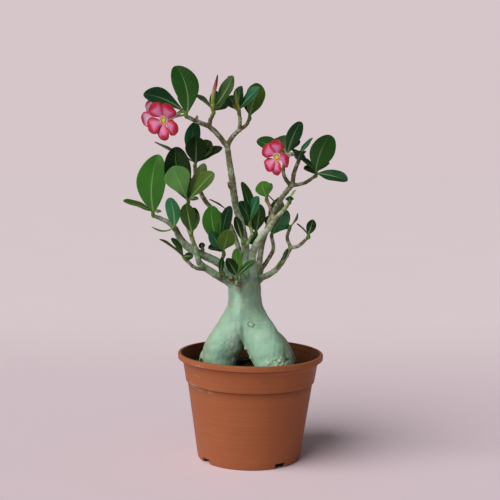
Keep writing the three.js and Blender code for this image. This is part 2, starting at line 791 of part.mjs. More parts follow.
// A corolla is a funnel, open above its closed bottom, with a petal rooted in its rim at
// each of the given angles.
function makeCorolla({ petals, spread }) {
  const radiusAt = (share) => TUBE_FOOT_RADIUS + (THROAT_RADIUS - TUBE_FOOT_RADIUS) * share ** TUBE_FLARE;
  const outside = [1, 0.6, 0.25, 0].map((share) => [radiusAt(share), TUBE_LENGTH * share]);
  const inside = [0.6, 1].map((share) => [radiusAt(share) - TUBE_WALL, TUBE_LENGTH * share]);
  const tube = turned([[0, TUBE_BOTTOM * TUBE_LENGTH], ...inside, ...outside, [0, 0]], TUBE_SIDES);
  const blades = petals.map((angle) => {
    const outward = new THREE.Vector3(Math.cos(radians(angle)), Math.sin(radians(angle)), 0);
    return blade({
      root: outward.clone().multiplyScalar(THROAT_RADIUS - TUBE_WALL - PETAL_SUNK)
        .setZ(TUBE_LENGTH - PETAL_DROP),
      tip: outward.clone().multiplyScalar(PETAL_REACH * spread).setZ(TUBE_LENGTH + PETAL_LIFT),
      face: new THREE.Vector3(0, 0, 1).applyAxisAngle(outward, radians(PETAL_TWIST)),
      width: PETAL_WIDTH * spread,
      rootWidth: PETAL_ROOT_WIDTH,
      broadest: PETAL_BROADEST,
      fold: 0,
      arch: PETAL_ARCH,
      sway: PETAL_SWAY,
      thickness: PETAL_THICKNESS,
    });
  });
  return soundBody(join([tube, ...blades]));
}

// ---------------------------------------------------------------- the whole plant

const plant = new THREE.Group();

function place(name, shape, material, position = [0, 0, 0]) {
  const mesh = new THREE.Mesh(geometryOf(shape), material.clone());
  mesh.name = name;
  mesh.position.set(...position);
  plant.add(mesh);
  return mesh;
}

place('pot', makePot(), potPlastic);
place('soil', makeSoil(), pottingSoil);
place('caudex_and_branches', makeStems(), stemBark);

for (const [name, shoot] of Object.entries(SHOOTS)) {
  place(`leaves_${name}`, makeShoot(name, shoot), leafGreen, shoot.foot);
}

for (const [name, flower] of Object.entries(COROLLAS)) {
  const corolla = place(name, makeCorolla(flower), petalPink, flower.base);
  const forward = vector(flower.aim).normalize();
  const rightward = new THREE.Vector3(0, 0, 1).cross(forward).normalize();
  const upward = forward.clone().cross(rightward);
  corolla.quaternion.setFromRotationMatrix(new THREE.Matrix4().makeBasis(rightward, upward, forward));
}

for (const [name, { stations }] of Object.entries(BUDS)) {
  place(name, limb(stations, TWIG_SIDES, 2), petalPink);
}

export default plant;
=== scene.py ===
"""A potted desert rose: swollen two-legged caudex, bare branches, leathery leaves,
pink flowers and furled buds, in a moulded nursery pot full of potting soil."""

import math

import bpy
import numpy as np
from mathutils import Matrix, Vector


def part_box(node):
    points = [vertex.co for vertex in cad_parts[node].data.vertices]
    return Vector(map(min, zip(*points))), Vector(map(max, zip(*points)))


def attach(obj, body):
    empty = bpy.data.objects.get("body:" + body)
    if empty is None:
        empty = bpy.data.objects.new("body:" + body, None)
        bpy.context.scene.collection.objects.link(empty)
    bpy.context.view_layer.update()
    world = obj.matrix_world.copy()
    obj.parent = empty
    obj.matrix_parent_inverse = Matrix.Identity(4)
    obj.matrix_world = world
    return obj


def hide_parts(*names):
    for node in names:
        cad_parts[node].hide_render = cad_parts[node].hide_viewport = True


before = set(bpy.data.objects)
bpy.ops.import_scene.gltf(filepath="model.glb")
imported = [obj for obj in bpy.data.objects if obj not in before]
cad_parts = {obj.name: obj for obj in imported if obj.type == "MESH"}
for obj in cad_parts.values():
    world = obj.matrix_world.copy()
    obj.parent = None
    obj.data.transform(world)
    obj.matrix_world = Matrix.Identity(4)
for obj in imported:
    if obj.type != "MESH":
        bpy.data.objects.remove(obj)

bl_info = {
    "name": "Potted desert rose",
    "version": (1, 0, 0),
    "blender": (4, 5, 0),
    "location": "3D view > Sidebar > Desert rose",
    "description": "Builds a potted desert rose round its packed solids",
    "category": "Add Mesh",
}

# ------------------------------------------------------------------ sizes, in millimetres

MM = 0.001
SEED = 11

POT_BAND_RADIUS = 78.4
POT_BAND_TOP = 110
POT_LEDGE_HEIGHT = 91
POT_LEDGE_STEP = 2
POT_BODY_RADIUS = 73.4
POT_BASE_RADIUS = 60.5
POT_FOOT_BEVEL = 2
POT_FLOOR = 2.5
POT_EDGE = 0.8
POT_SIDES = 192
POT_STEP = 3
NEAR_AXIS = 0.01
DRAIN_COUNT = 4
DRAIN_WIDTH = 14
DRAIN_HEIGHT = 6
DRAIN_REACH = 9
DRAIN_TURN = 36

# Roundings of the pot's profile, each point as (how far out, how far up) from a corner: the
# recess under the floor and the foot from the base's edge, the ledge from the body's edge at
# the ledge's height, the shoulder from the band's edge at its top, the lip's lower edge from
# the rim, and the inside of the lip from the rim's inner edge at its top.
FOOT_ROUNDING = (
    (-7, 0.6), (-6, 0), (-POT_FOOT_BEVEL, 0), (-0.5, 0.7), (0, POT_FOOT_BEVEL),
)
LEDGE_ROUNDING = (
    (0, -POT_EDGE), (0.7, -0.3), (POT_LEDGE_STEP - 0.3, 0), (POT_LEDGE_STEP, 0.6),
)
SHOULDER_ROUNDING = ((0, 0), (1.2, 3.4))
LIP_ROUNDING = ((-2.4, -1.1), (-POT_EDGE, 0), (-0.25, 0.6))
INNER_LIP_ROUNDING = ((0.9, 0), (0.2, -0.35), (0, -1.1))
LIP_ROLL = 1.6

# Edges of the pot that turn by less than this many degrees are shaded smooth.
SMOOTH_UP_TO = 38

SOIL_TOP = 104
SOIL_SAG = 1.5
SOIL_ROUNDING = 0.4
SOIL_SHOULDER = 2
SOIL_RINGS = 90
SOIL_SIDES = 240
HUMMOCK_HEIGHT = 0.9
HUMMOCK_SIZE = 26
CRUMB_SHAPE = (1, 0.9, 0.75)
CHIP_SHAPE = (2.6, 1.3, 0.5)
CHIP_SHARE = 0.16
STONE_SHARE = 0.2
GRIT_FROM = 0.965
CRUMB_LIMIT = 4
CRUMB_MARGIN = 1.5
SEAT_GAP = 0.3

# Low moss on the soil, each tuft as (middle of its foot, spread along each axis).
MOSS_TUFTS = (
    ((-58.5, 8, 0), (2.6, 4, 4.2)),
    ((57, 4, 0), (3.2, 4, 4.2)),
    ((-2, 14, 0), (6, 6, 0.8)),
)
MOSS_COUNT = 130
MOSS_TOP = 8

# Leaf scars on the branches: how far apart they stand, how far each is turned round the stem
# from the one below (radians), their half length and half width, how far from a branch's foot
# they start, and the stem radius below which there are any.
SCAR_STEP = 4.6
SCAR_TURN = 2.4
SCAR_LENGTH = 0.95
SCAR_WIDTH = 1.4
SCAR_START = 12
SCAR_RADIUS = 6

BARK_EASINGS = 6
EASE_IN = 0.5
EASE_OUT = -0.52
TINT_BLEND = 1.5
POINTS_AT_ONCE = 2500
STEM_STEPS = 8
TWIG_STEPS = 6
LEG_SIDES = 40
ROOT_SIDES = 20
TWIG_SIDES = 16
GREEN_SIDES = 12
THREAD_SIDES = 8
THREAD_RADIUS = 1

# Unevenness of the bark, each as (height, size): folds and wrinkles of the swollen parts,
# knobs on the branches, knobs and cracks of the knobbly patch, strokes of the brushed one.
FOLDS = (0.5, 34)
WRINKLES = (0.12, 5)
BRANCH_KNOBS = (0.14, 6)
PATCH_KNOBS = (1.2, 4.5)
PATCH_CRACKS = (0.5, 3.2)
BRUSH_STROKES = (0.25, 1.9)
RING_DEPTH = 0.45
RING_MIDDLE = 0.4

# Leaves: the power that sets where they are broadest, how far each half is folded up in
# degrees, and the powers and shares that shape any blade's outline, body, stalk and groove.
LEAF_BROADEST = 1.4
LEAF_FOLD = 14
BLADE_FULLNESS = 0.75
BLADE_ROUNDING = 0.25
BLADE_POINT = 1.2
BLADE_THINNING = 0.45
BLADE_SPREAD = 1.6
STALK_SHARE = 0.12
STALK_THICKNESS = 0.7
GROOVE_DEPTH = 0.22
GROOVE_WIDTH = 0.9
LARGEST_WAVE = 0.04
LEAF = {"root_width": 2.6, "fold": math.radians(LEAF_FOLD), "rows": 22, "halves": 6}
SEPAL_COUNT = 5
SEPAL = {
    "width": 2.6, "root_width": 2.2, "broadest": 0.9, "fold": 0, "arch": 0.02, "sway": 0,
    "rows": 6, "halves": 2, "rib": 0.8, "margin": 0.4, "wave": 0, "waves": 0, "phase": 0,
    "curl": 0.25, "tip_curl": 0,
}

# How deep a sepal's foot sits in the tube, how far below the tube's foot it starts, how far
# its tip leans out, and its reach on a flower and on a bud.
SEPAL_SUNK = 0.5
SEPAL_DROP = 1.2
SEPAL_LEAN = 0.9
FLOWER_SEPAL = 4.5
BUD_SEPAL = 4

# The green tip of a shoot, and over which shares of it the leaves are rooted.
TIP_RADIUS = 2.3
LOWEST_LEAF = 0.45
LEAF_STRETCH = 0.45

# Open flowers: the tube, how its petals stand in its rim, and the shape of a petal.
TUBE_LENGTH = 27
TUBE_FOOT_RADIUS = 1.7
THROAT_RADIUS = 5.4
TUBE_WALL = 0.9
TUBE_FLARE = 1.5
TUBE_BOTTOM = 0.35
TUBE_RINGS = 15
TUBE_SIDES = 40
TUBE_LIP = 0.4
PETAL_REACH = 22
PETAL_WIDTH = 20
PETAL_LIFT = 4
PETAL_SUNK = 0.6
PETAL_DROP = 1
PETAL_TWIST = 12
PETAL = {
    "root_width": 6.5, "broadest": 1.3, "fold": 0, "arch": 0.12, "sway": 0.05, "rows": 26,
    "halves": 8, "rib": 1.2, "margin": 0.5, "curl": -0.16, "tip_curl": -0.05,
}

# A stamen's stations: (distance from the tube's axis, share of the tube's length, radius).
STAMEN = ((2.6, 0.5, 0.9), (2.1, 0.8, 1.35), (1.1, 1.03, 1.0))
STAMEN_COUNT = 5
STAMEN_TURN = 0.3
STAMEN_STEPS = 5
STAMEN_SIDES = 8
CALYX_RADIUS = 2.6
CALYX_LENGTH = 4
PEDICEL_RADIUS = 1.2

# Furled buds: folds, how many folds they wind by, girth between folds, height of a fold.
BUD_FOLDS = 5
BUD_WINDING = 3.2
BUD_SLIMMING = 0.93
BUD_FOLD = 0.13
BUD_STEPS = 12
BUD_SIDES = 40

# Painted shade in dark lines round the pot, under the lip and along the ledge, each as
# (height, strength).
PAINTED_SHADE_LINES = ((116.4, 0.5), (90.6, 0.4))

# Heights where the plastic is worn: the middle of the ledge, and the lip from where its wear
# starts to where it is full.
WORN_LEDGE = 90
WORN_LIP = (118, 122.5)

# The pot's inside, darkened by soil stains and painted shade: its radius at the top of the
# band, and how much it widens for each millimetre above that, up to the lip, and narrows for
# each millimetre below.
INSIDE_RADIUS = 76.2
INSIDE_LEAN_ABOVE = 0.355
INSIDE_LEAN_BELOW = 0.176

# Whitish rubbed spots on the pot, in metres: (place, reach along each axis, strength).
RUBBED_SPOTS = (
    ((-0.0655, -0.036, 0.0905), (0.014, 0.02, 0.005), 1.0),
    ((-0.0560, -0.048, 0.0885), (0.009, 0.012, 0.003), 0.9),
    ((-0.0440, -0.059, 0.0880), (0.008, 0.010, 0.003), 0.8),
    ((-0.0580, -0.060, 0.1185), (0.016, 0.016, 0.003), 0.7),
    ((-0.0600, -0.050, 0.1045), (0.008, 0.010, 0.0016), 0.6),
)

# ------------------------------------------------------------------ colours, as 8-bit sRGB

# Leaf greens as each leaf looks: 'dark' is partly the leaves' own deep green and partly painted
# shade for leaves that lie in shade; the teal and sea greens are partly a painted bluish reflection
# on the glossy blades.
LEAF_TINTS = {
    "dark": (15, 42, 12),
    "deep": (38, 84, 30),
    "fresh": (52, 112, 32),
    "bright": (80, 138, 46),
    "light": (108, 168, 88),
    "lime": (150, 178, 112),
    "teal": (38, 98, 66),
    "teal_dark": (20, 62, 40),
    "sea_green": (44, 112, 72),
    "olive": (80, 112, 36),
    "olive_dark": (46, 72, 24),
    "grey_olive": (92, 110, 72),
    "brown_olive": (88, 88, 36),
    "tip_green": (98, 126, 50),
    "stalk_green": (134, 160, 66),
    "calyx_green": (160, 180, 92),
    "bud_green": (160, 172, 70),
    "bud_red": (104, 16, 34),
}

WOOD_TINTS = {
    "mint": (160, 206, 178),
    "grey_green": (146, 176, 142),
    "grey_olive": (130, 144, 108),
    "olive": (114, 112, 72),
    "green": (112, 136, 76),
    "young": (104, 150, 66),
    "lime": (150, 164, 106),
    "buff": (158, 152, 110),
    "rosy": (140, 112, 88),
    "brown": (96, 78, 50),
    "dark": (66, 50, 34),
}

SOIL_TINTS = {
    "dirt": (34, 26, 19),
    "bark": (74, 52, 34),
    "grit": (112, 106, 92),
    "stone": (52, 42, 33),
    "moss": (58, 84, 34),
}

SKIN_TINTS = {
    "shaded_wood": (64, 52, 30),
    "flank": (156, 148, 122),
    "scar_middle": (190, 210, 184),
    "scar_ring": (66, 74, 50),
    "knob": (226, 240, 214),
    "crack": (96, 104, 72),
    "brushed": (80, 104, 80),
}

# Colours that the finishes lay over one another, painted shade, sheen and glow among them,
# and those of pot, floor and room.
TONES = {
    "moulding_ring": (120, 62, 36),
    "rubbed_plastic": (214, 194, 176),
    "painted_shade_line": (56, 24, 12),
    "soiled_and_shaded_plastic": (50, 24, 12),
    "plastic_gloss": (206, 150, 120),
    "bark_streak": (102, 130, 100),
    "bark_blush": (178, 196, 164),
    "bark_pore": (98, 116, 88),
    "pale_bark": (180, 200, 172),
    "brown_bark": (70, 54, 32),
    "ring_line": (58, 46, 28),
    "leaf_scar": (176, 174, 136),
    "painted_foot_sheen": (86, 138, 74),
    "leaf_end": (18, 44, 14),
    "shaded_half": (26, 42, 4),
    "leaf_vein": (132, 170, 90),
    "leaf_underside": (108, 128, 76),
    "leaf_rib": (158, 192, 126),
    "leaf_margin": (120, 150, 70),
    "leaf_gloss": (206, 232, 190),
    "petal_line": (176, 30, 70),
    "petal_root": (206, 176, 100),
    "throat_yellow": (216, 190, 96),
    "throat_olive": (182, 162, 62),
    "petal_glow": (30, 4, 10),
    "bud_fold": (128, 10, 36),
    "painted_floor_shade": (232, 214, 223),
    "floor": (243, 228, 233),
    "room": (214, 198, 202),
    "terracotta": (160, 95, 62),
}

# Colours that follow one another from a petal's middle to its edge, and from a bud's foot to
# its point, each with its place between 0 and 1.
PETAL_FACE = (
    (0.0, (206, 128, 164)), (0.2, (201, 104, 145)), (0.42, (196, 58, 98)),
    (0.62, (182, 20, 50)), (0.95, (148, 5, 26)),
)
PETAL_BACK = (
    (0.0, (228, 192, 214)), (0.5, (222, 168, 196)), (0.8, (200, 70, 110)), (0.97, (186, 24, 62)),
)
BUD_RUN = (
    (0.04, (112, 146, 38)), (0.24, (140, 156, 60)), (0.42, (160, 140, 102)),
    (0.52, (160, 96, 102)), (0.62, (138, 30, 50)), (0.86, (66, 4, 16)),
)

# ------------------------------------------------------------------ light and camera
# Turns and tilts are in degrees, places and distances in metres, the sensor in millimetres.

SUN_WIDTH = 58
SUN_TURN = -49
SUN_TILT = 50
SUN_COLOUR = (1.0, 0.985, 0.96)
FLOOR_HALF = 40
FLOOR_FAR = 1.1
FLOOR_NEAR = 0.12
CAMERA_PLACE = (-0.00283, -1.1, 0.339)
CAMERA_TILT = 85.05
CAMERA_ROLL = 1.03
CAMERA_SENSOR = 36
CAMERA_REACH = 200

# ------------------------------------------------------------------ the plant's plan
# Stations are (x, y, z, radius) along the middle of a stem. The two legs share the neck.

LEGS = (
    ((-9, 0, 217, 10), (-9, 0, 205, 18.2), (-8, 0, 187, 19.4), (-9, 1, 173, 20),
     (-15, 3, 158, 20.5), (-22, 6, 145, 21), (-29, 9, 133, 21.2), (-35, 12, 122, 21.2),
     (-37, 14, 108, 20.3), (-40, 15, 91, 17), (-43, 16, 74, 10)),
    ((-9, 0, 215, 11), (-8, 0, 203, 18.2), (-8, 0, 187, 19.4), (-5, -2, 172, 19.8),
     (1.5, -5, 157, 20.5), (9.5, -9, 145, 21.5), (16.5, -13, 134, 22), (23.5, -16, 123, 22.3),
     (29, -18, 110, 22), (34, -19, 93, 18), (38, -20, 77, 10)),
)
ROOTS = (
    ((23, 4, 148, 5.5), (33, 6, 139, 6), (43, 7, 126, 5.3), (50, 9, 111, 4.8), (53, 10, 97, 4),
     (54, 10, 86, 3)),
    ((-46, 16, 124, 6), (-54, 18, 117, 5), (-58, 19, 107, 4), (-60, 20, 97, 3.4),
     (-61, 20, 86, 2.6)),
)
BRANCHES = (
    ("grey_green", "olive", (
        (-5, 3, 196, 9), (-6, 5, 212, 5.6), (-7, 8, 237, 4.9), (-10, 8, 257, 4.6),
        (-15, 8, 278, 4.4), (-21, 8, 298, 4.2), (-25, 8, 324, 4), (-29, 8, 348, 3.5),
        (-32, 6, 368, 3.4))),
    ("olive", "brown", ((-25, 8, 312, 1.3), (-29, 6, 317, 1.1), (-30, 5, 322, 0.9))),
    ("olive", "brown", (
        (-31, 7, 362, 3), (-41, 2, 375, 3.1), (-52, -4, 385, 2.9), (-65, -9, 390, 2.5),
        (-76, -13, 395, 2.4))),
    ("olive", "brown", (
        (-52, -4, 384, 2.4), (-51, -5, 392, 2.5), (-48, -6, 399, 2.3))),
    ("brown", "dark", ((-66, -9, 390, 1.8), (-66, -10, 397, 1.5))),
    ("olive", "brown", ((-32, 7, 363, 3), (-25, 7, 375, 2.8), (-16, 8, 384, 2.6))),
    ("olive", "brown", ((-18, 8, 382, 2.3), (-17, 6, 392, 2.2), (-18, 4, 400, 2.2))),
    ("olive", "brown", ((-18, 8, 382, 2.2), (-10, 10, 388, 2.2), (-7, 11, 394, 2.1))),
    ("grey_olive", "olive", (
        (-8, 6, 216, 4), (-20, 18, 255, 3), (-31, 24, 276, 2.9), (-50, 27, 291, 2.8),
        (-60, 25, 304, 2.7), (-67, 22, 320, 2.6), (-69, 18, 338, 2.5))),
    ("mint", "olive", (
        (-14, -1, 200, 9), (-24, -3, 216, 6.5), (-35, -6, 226, 5.2), (-46, -10, 233, 4.8),
        (-57, -14, 238, 4.6), (-72, -16, 246, 4.6), (-82, -16, 255, 4.3), (-89, -16, 268, 3.4),
        (-98, -17, 276, 2.8), (-112, -18, 282, 2.2))),
    ("mint", "green", (
        (-15, -4, 195, 8), (-25, -8, 206, 5.6), (-37, -12, 213, 4.6), (-49, -18, 221, 4.2),
        (-60, -24, 230, 3.6), (-64, -26, 245, 2.8), (-67, -29, 254, 2.5),
        (-69, -31, 261, 2.3))),
    ("grey_olive", "olive", (
        (-65, -25, 246, 2.3), (-73, -19, 267, 2.2), (-78, -19, 280, 2.2), (-79, -21, 289, 2.3),
        (-75, -22, 296, 2.1))),
    ("olive", "green", (
        (-86, -16, 262, 2.4), (-88, -19, 265, 2.2), (-89, -22, 267, 2))),
    ("grey_olive", "brown", (
        (-50, -19, 222, 2.6), (-60, -30, 224, 2.2), (-67, -34, 227, 2.1), (-74, -36, 234, 2))),
    ("olive", "olive", (
        (-30, 23, 275, 1.8), (-28, 21, 282, 1.7), (-29, 20, 287, 1.6))),
    ("olive", "olive", (
        (-57, -14, 239, 2.2), (-57, -16, 241, 1.8), (-57, -17, 243, 1.6))),
    ("olive", "brown", (
        (-36, -12, 213, 2.4), (-37, -19, 213, 2.1), (-37, -24, 215, 1.9))),
    ("grey_green", "green", (
        (-26, -8, 205, 4), (-34, -18, 217, 2.8), (-36, -25, 229, 2.3), (-33, -28, 239, 2.1))),
    ("grey_olive", "brown", (
        (-12, -14, 196, 5), (-16, -20, 204, 3.2), (-17, -23, 211, 2.6))),
    ("olive", "brown", (
        (-20, -9, 204, 3.5), (-23, -15, 210, 3.4), (-24, -19, 214, 3))),
    ("grey_green", "young", (
        (-8, -12, 200, 6), (-12, -18, 220, 2.8), (-13, -22, 238, 2.3), (-8, -25, 250, 2.1),
        (-1, -25, 263, 2), (-3, -22, 272, 1.9))),
    ("young", "young", (
        (-9, -24, 247, 1.8), (-11, -28, 249, 1.7), (-11, -30, 253, 1.6))),
    ("mint", "buff", (
        (-2, -5, 198, 9), (1, -12, 220, 5), (0, -19, 237, 4.5), (3, -24, 250, 4.2),
        (10, -28, 262, 3.8), (18, -27, 271, 3.5), (25, -25, 282, 3), (33, -22, 290, 2.4),
        (40, -18, 299, 2.2))),
    ("rosy", "rosy", ((23, -25, 280, 2.4), (20, -22, 292, 2.1), (16, -18, 301, 2))),
    ("olive", "grey_olive", (
        (2, 5, 198, 8), (7, 9, 216, 4.6), (9, 14, 233, 3.7), (12, 20, 252, 3.4),
        (19, 22, 273, 3.3), (26, 20, 291, 3.2), (35, 16, 307, 3.1), (45, 10, 320, 3))),
    ("brown", "brown", ((27, 20, 293, 1.6), (29, 18, 301, 1.3), (28, 17, 305, 1))),
    ("dark", "brown", ((29, 19, 297, 0.9), (23, 16, 302, 0.8), (17, 14, 308, 0.6))),
    ("olive", "brown", (
        (44, 11, 318, 2.6), (36, 5, 329, 2.3), (34, 3, 339, 2.2), (38, 2, 350, 2))),
    ("olive", "brown", ((45, 10, 318, 2.8), (47, 10, 334, 2.6), (51, 8, 346, 2.4))),
    ("olive", "brown", (
        (44, 10, 319, 2.4), (54, 8, 321, 2.2), (62, 5, 324, 2.1), (70, 2, 330, 2))),
    ("olive", "brown", (
        (5, 8, 200, 5), (11, 14, 219, 3), (19, 22, 231, 2.5), (25, 28, 243, 2.4),
        (23, 30, 256, 2.1))),
    ("olive", "brown", (
        (0, 8, 200, 5), (1, 20, 222, 2.9), (2, 30, 240, 2.4), (4, 36, 258, 2.1))),
    ("grey_green", "lime", (
        (-2, 2, 198, 8), (10, 4, 210, 4.2), (20, 4, 215, 3.6), (30, 4, 223, 3.2),
        (39, 2, 237, 3), (45, 0, 249, 2.6))),
    ("olive", "brown", ((45, 0, 246, 2.2), (40, -2, 259, 2.1), (42, -3, 268, 1.9))),
    ("olive", "brown", ((44, 0, 247, 2.2), (54, -2, 250, 2.1), (63, -5, 259, 1.9))),
    ("grey_olive", "olive", (
        (28, 4, 222, 2.2), (29, 1, 224, 2.1), (31, -2, 227, 1.9))),
)

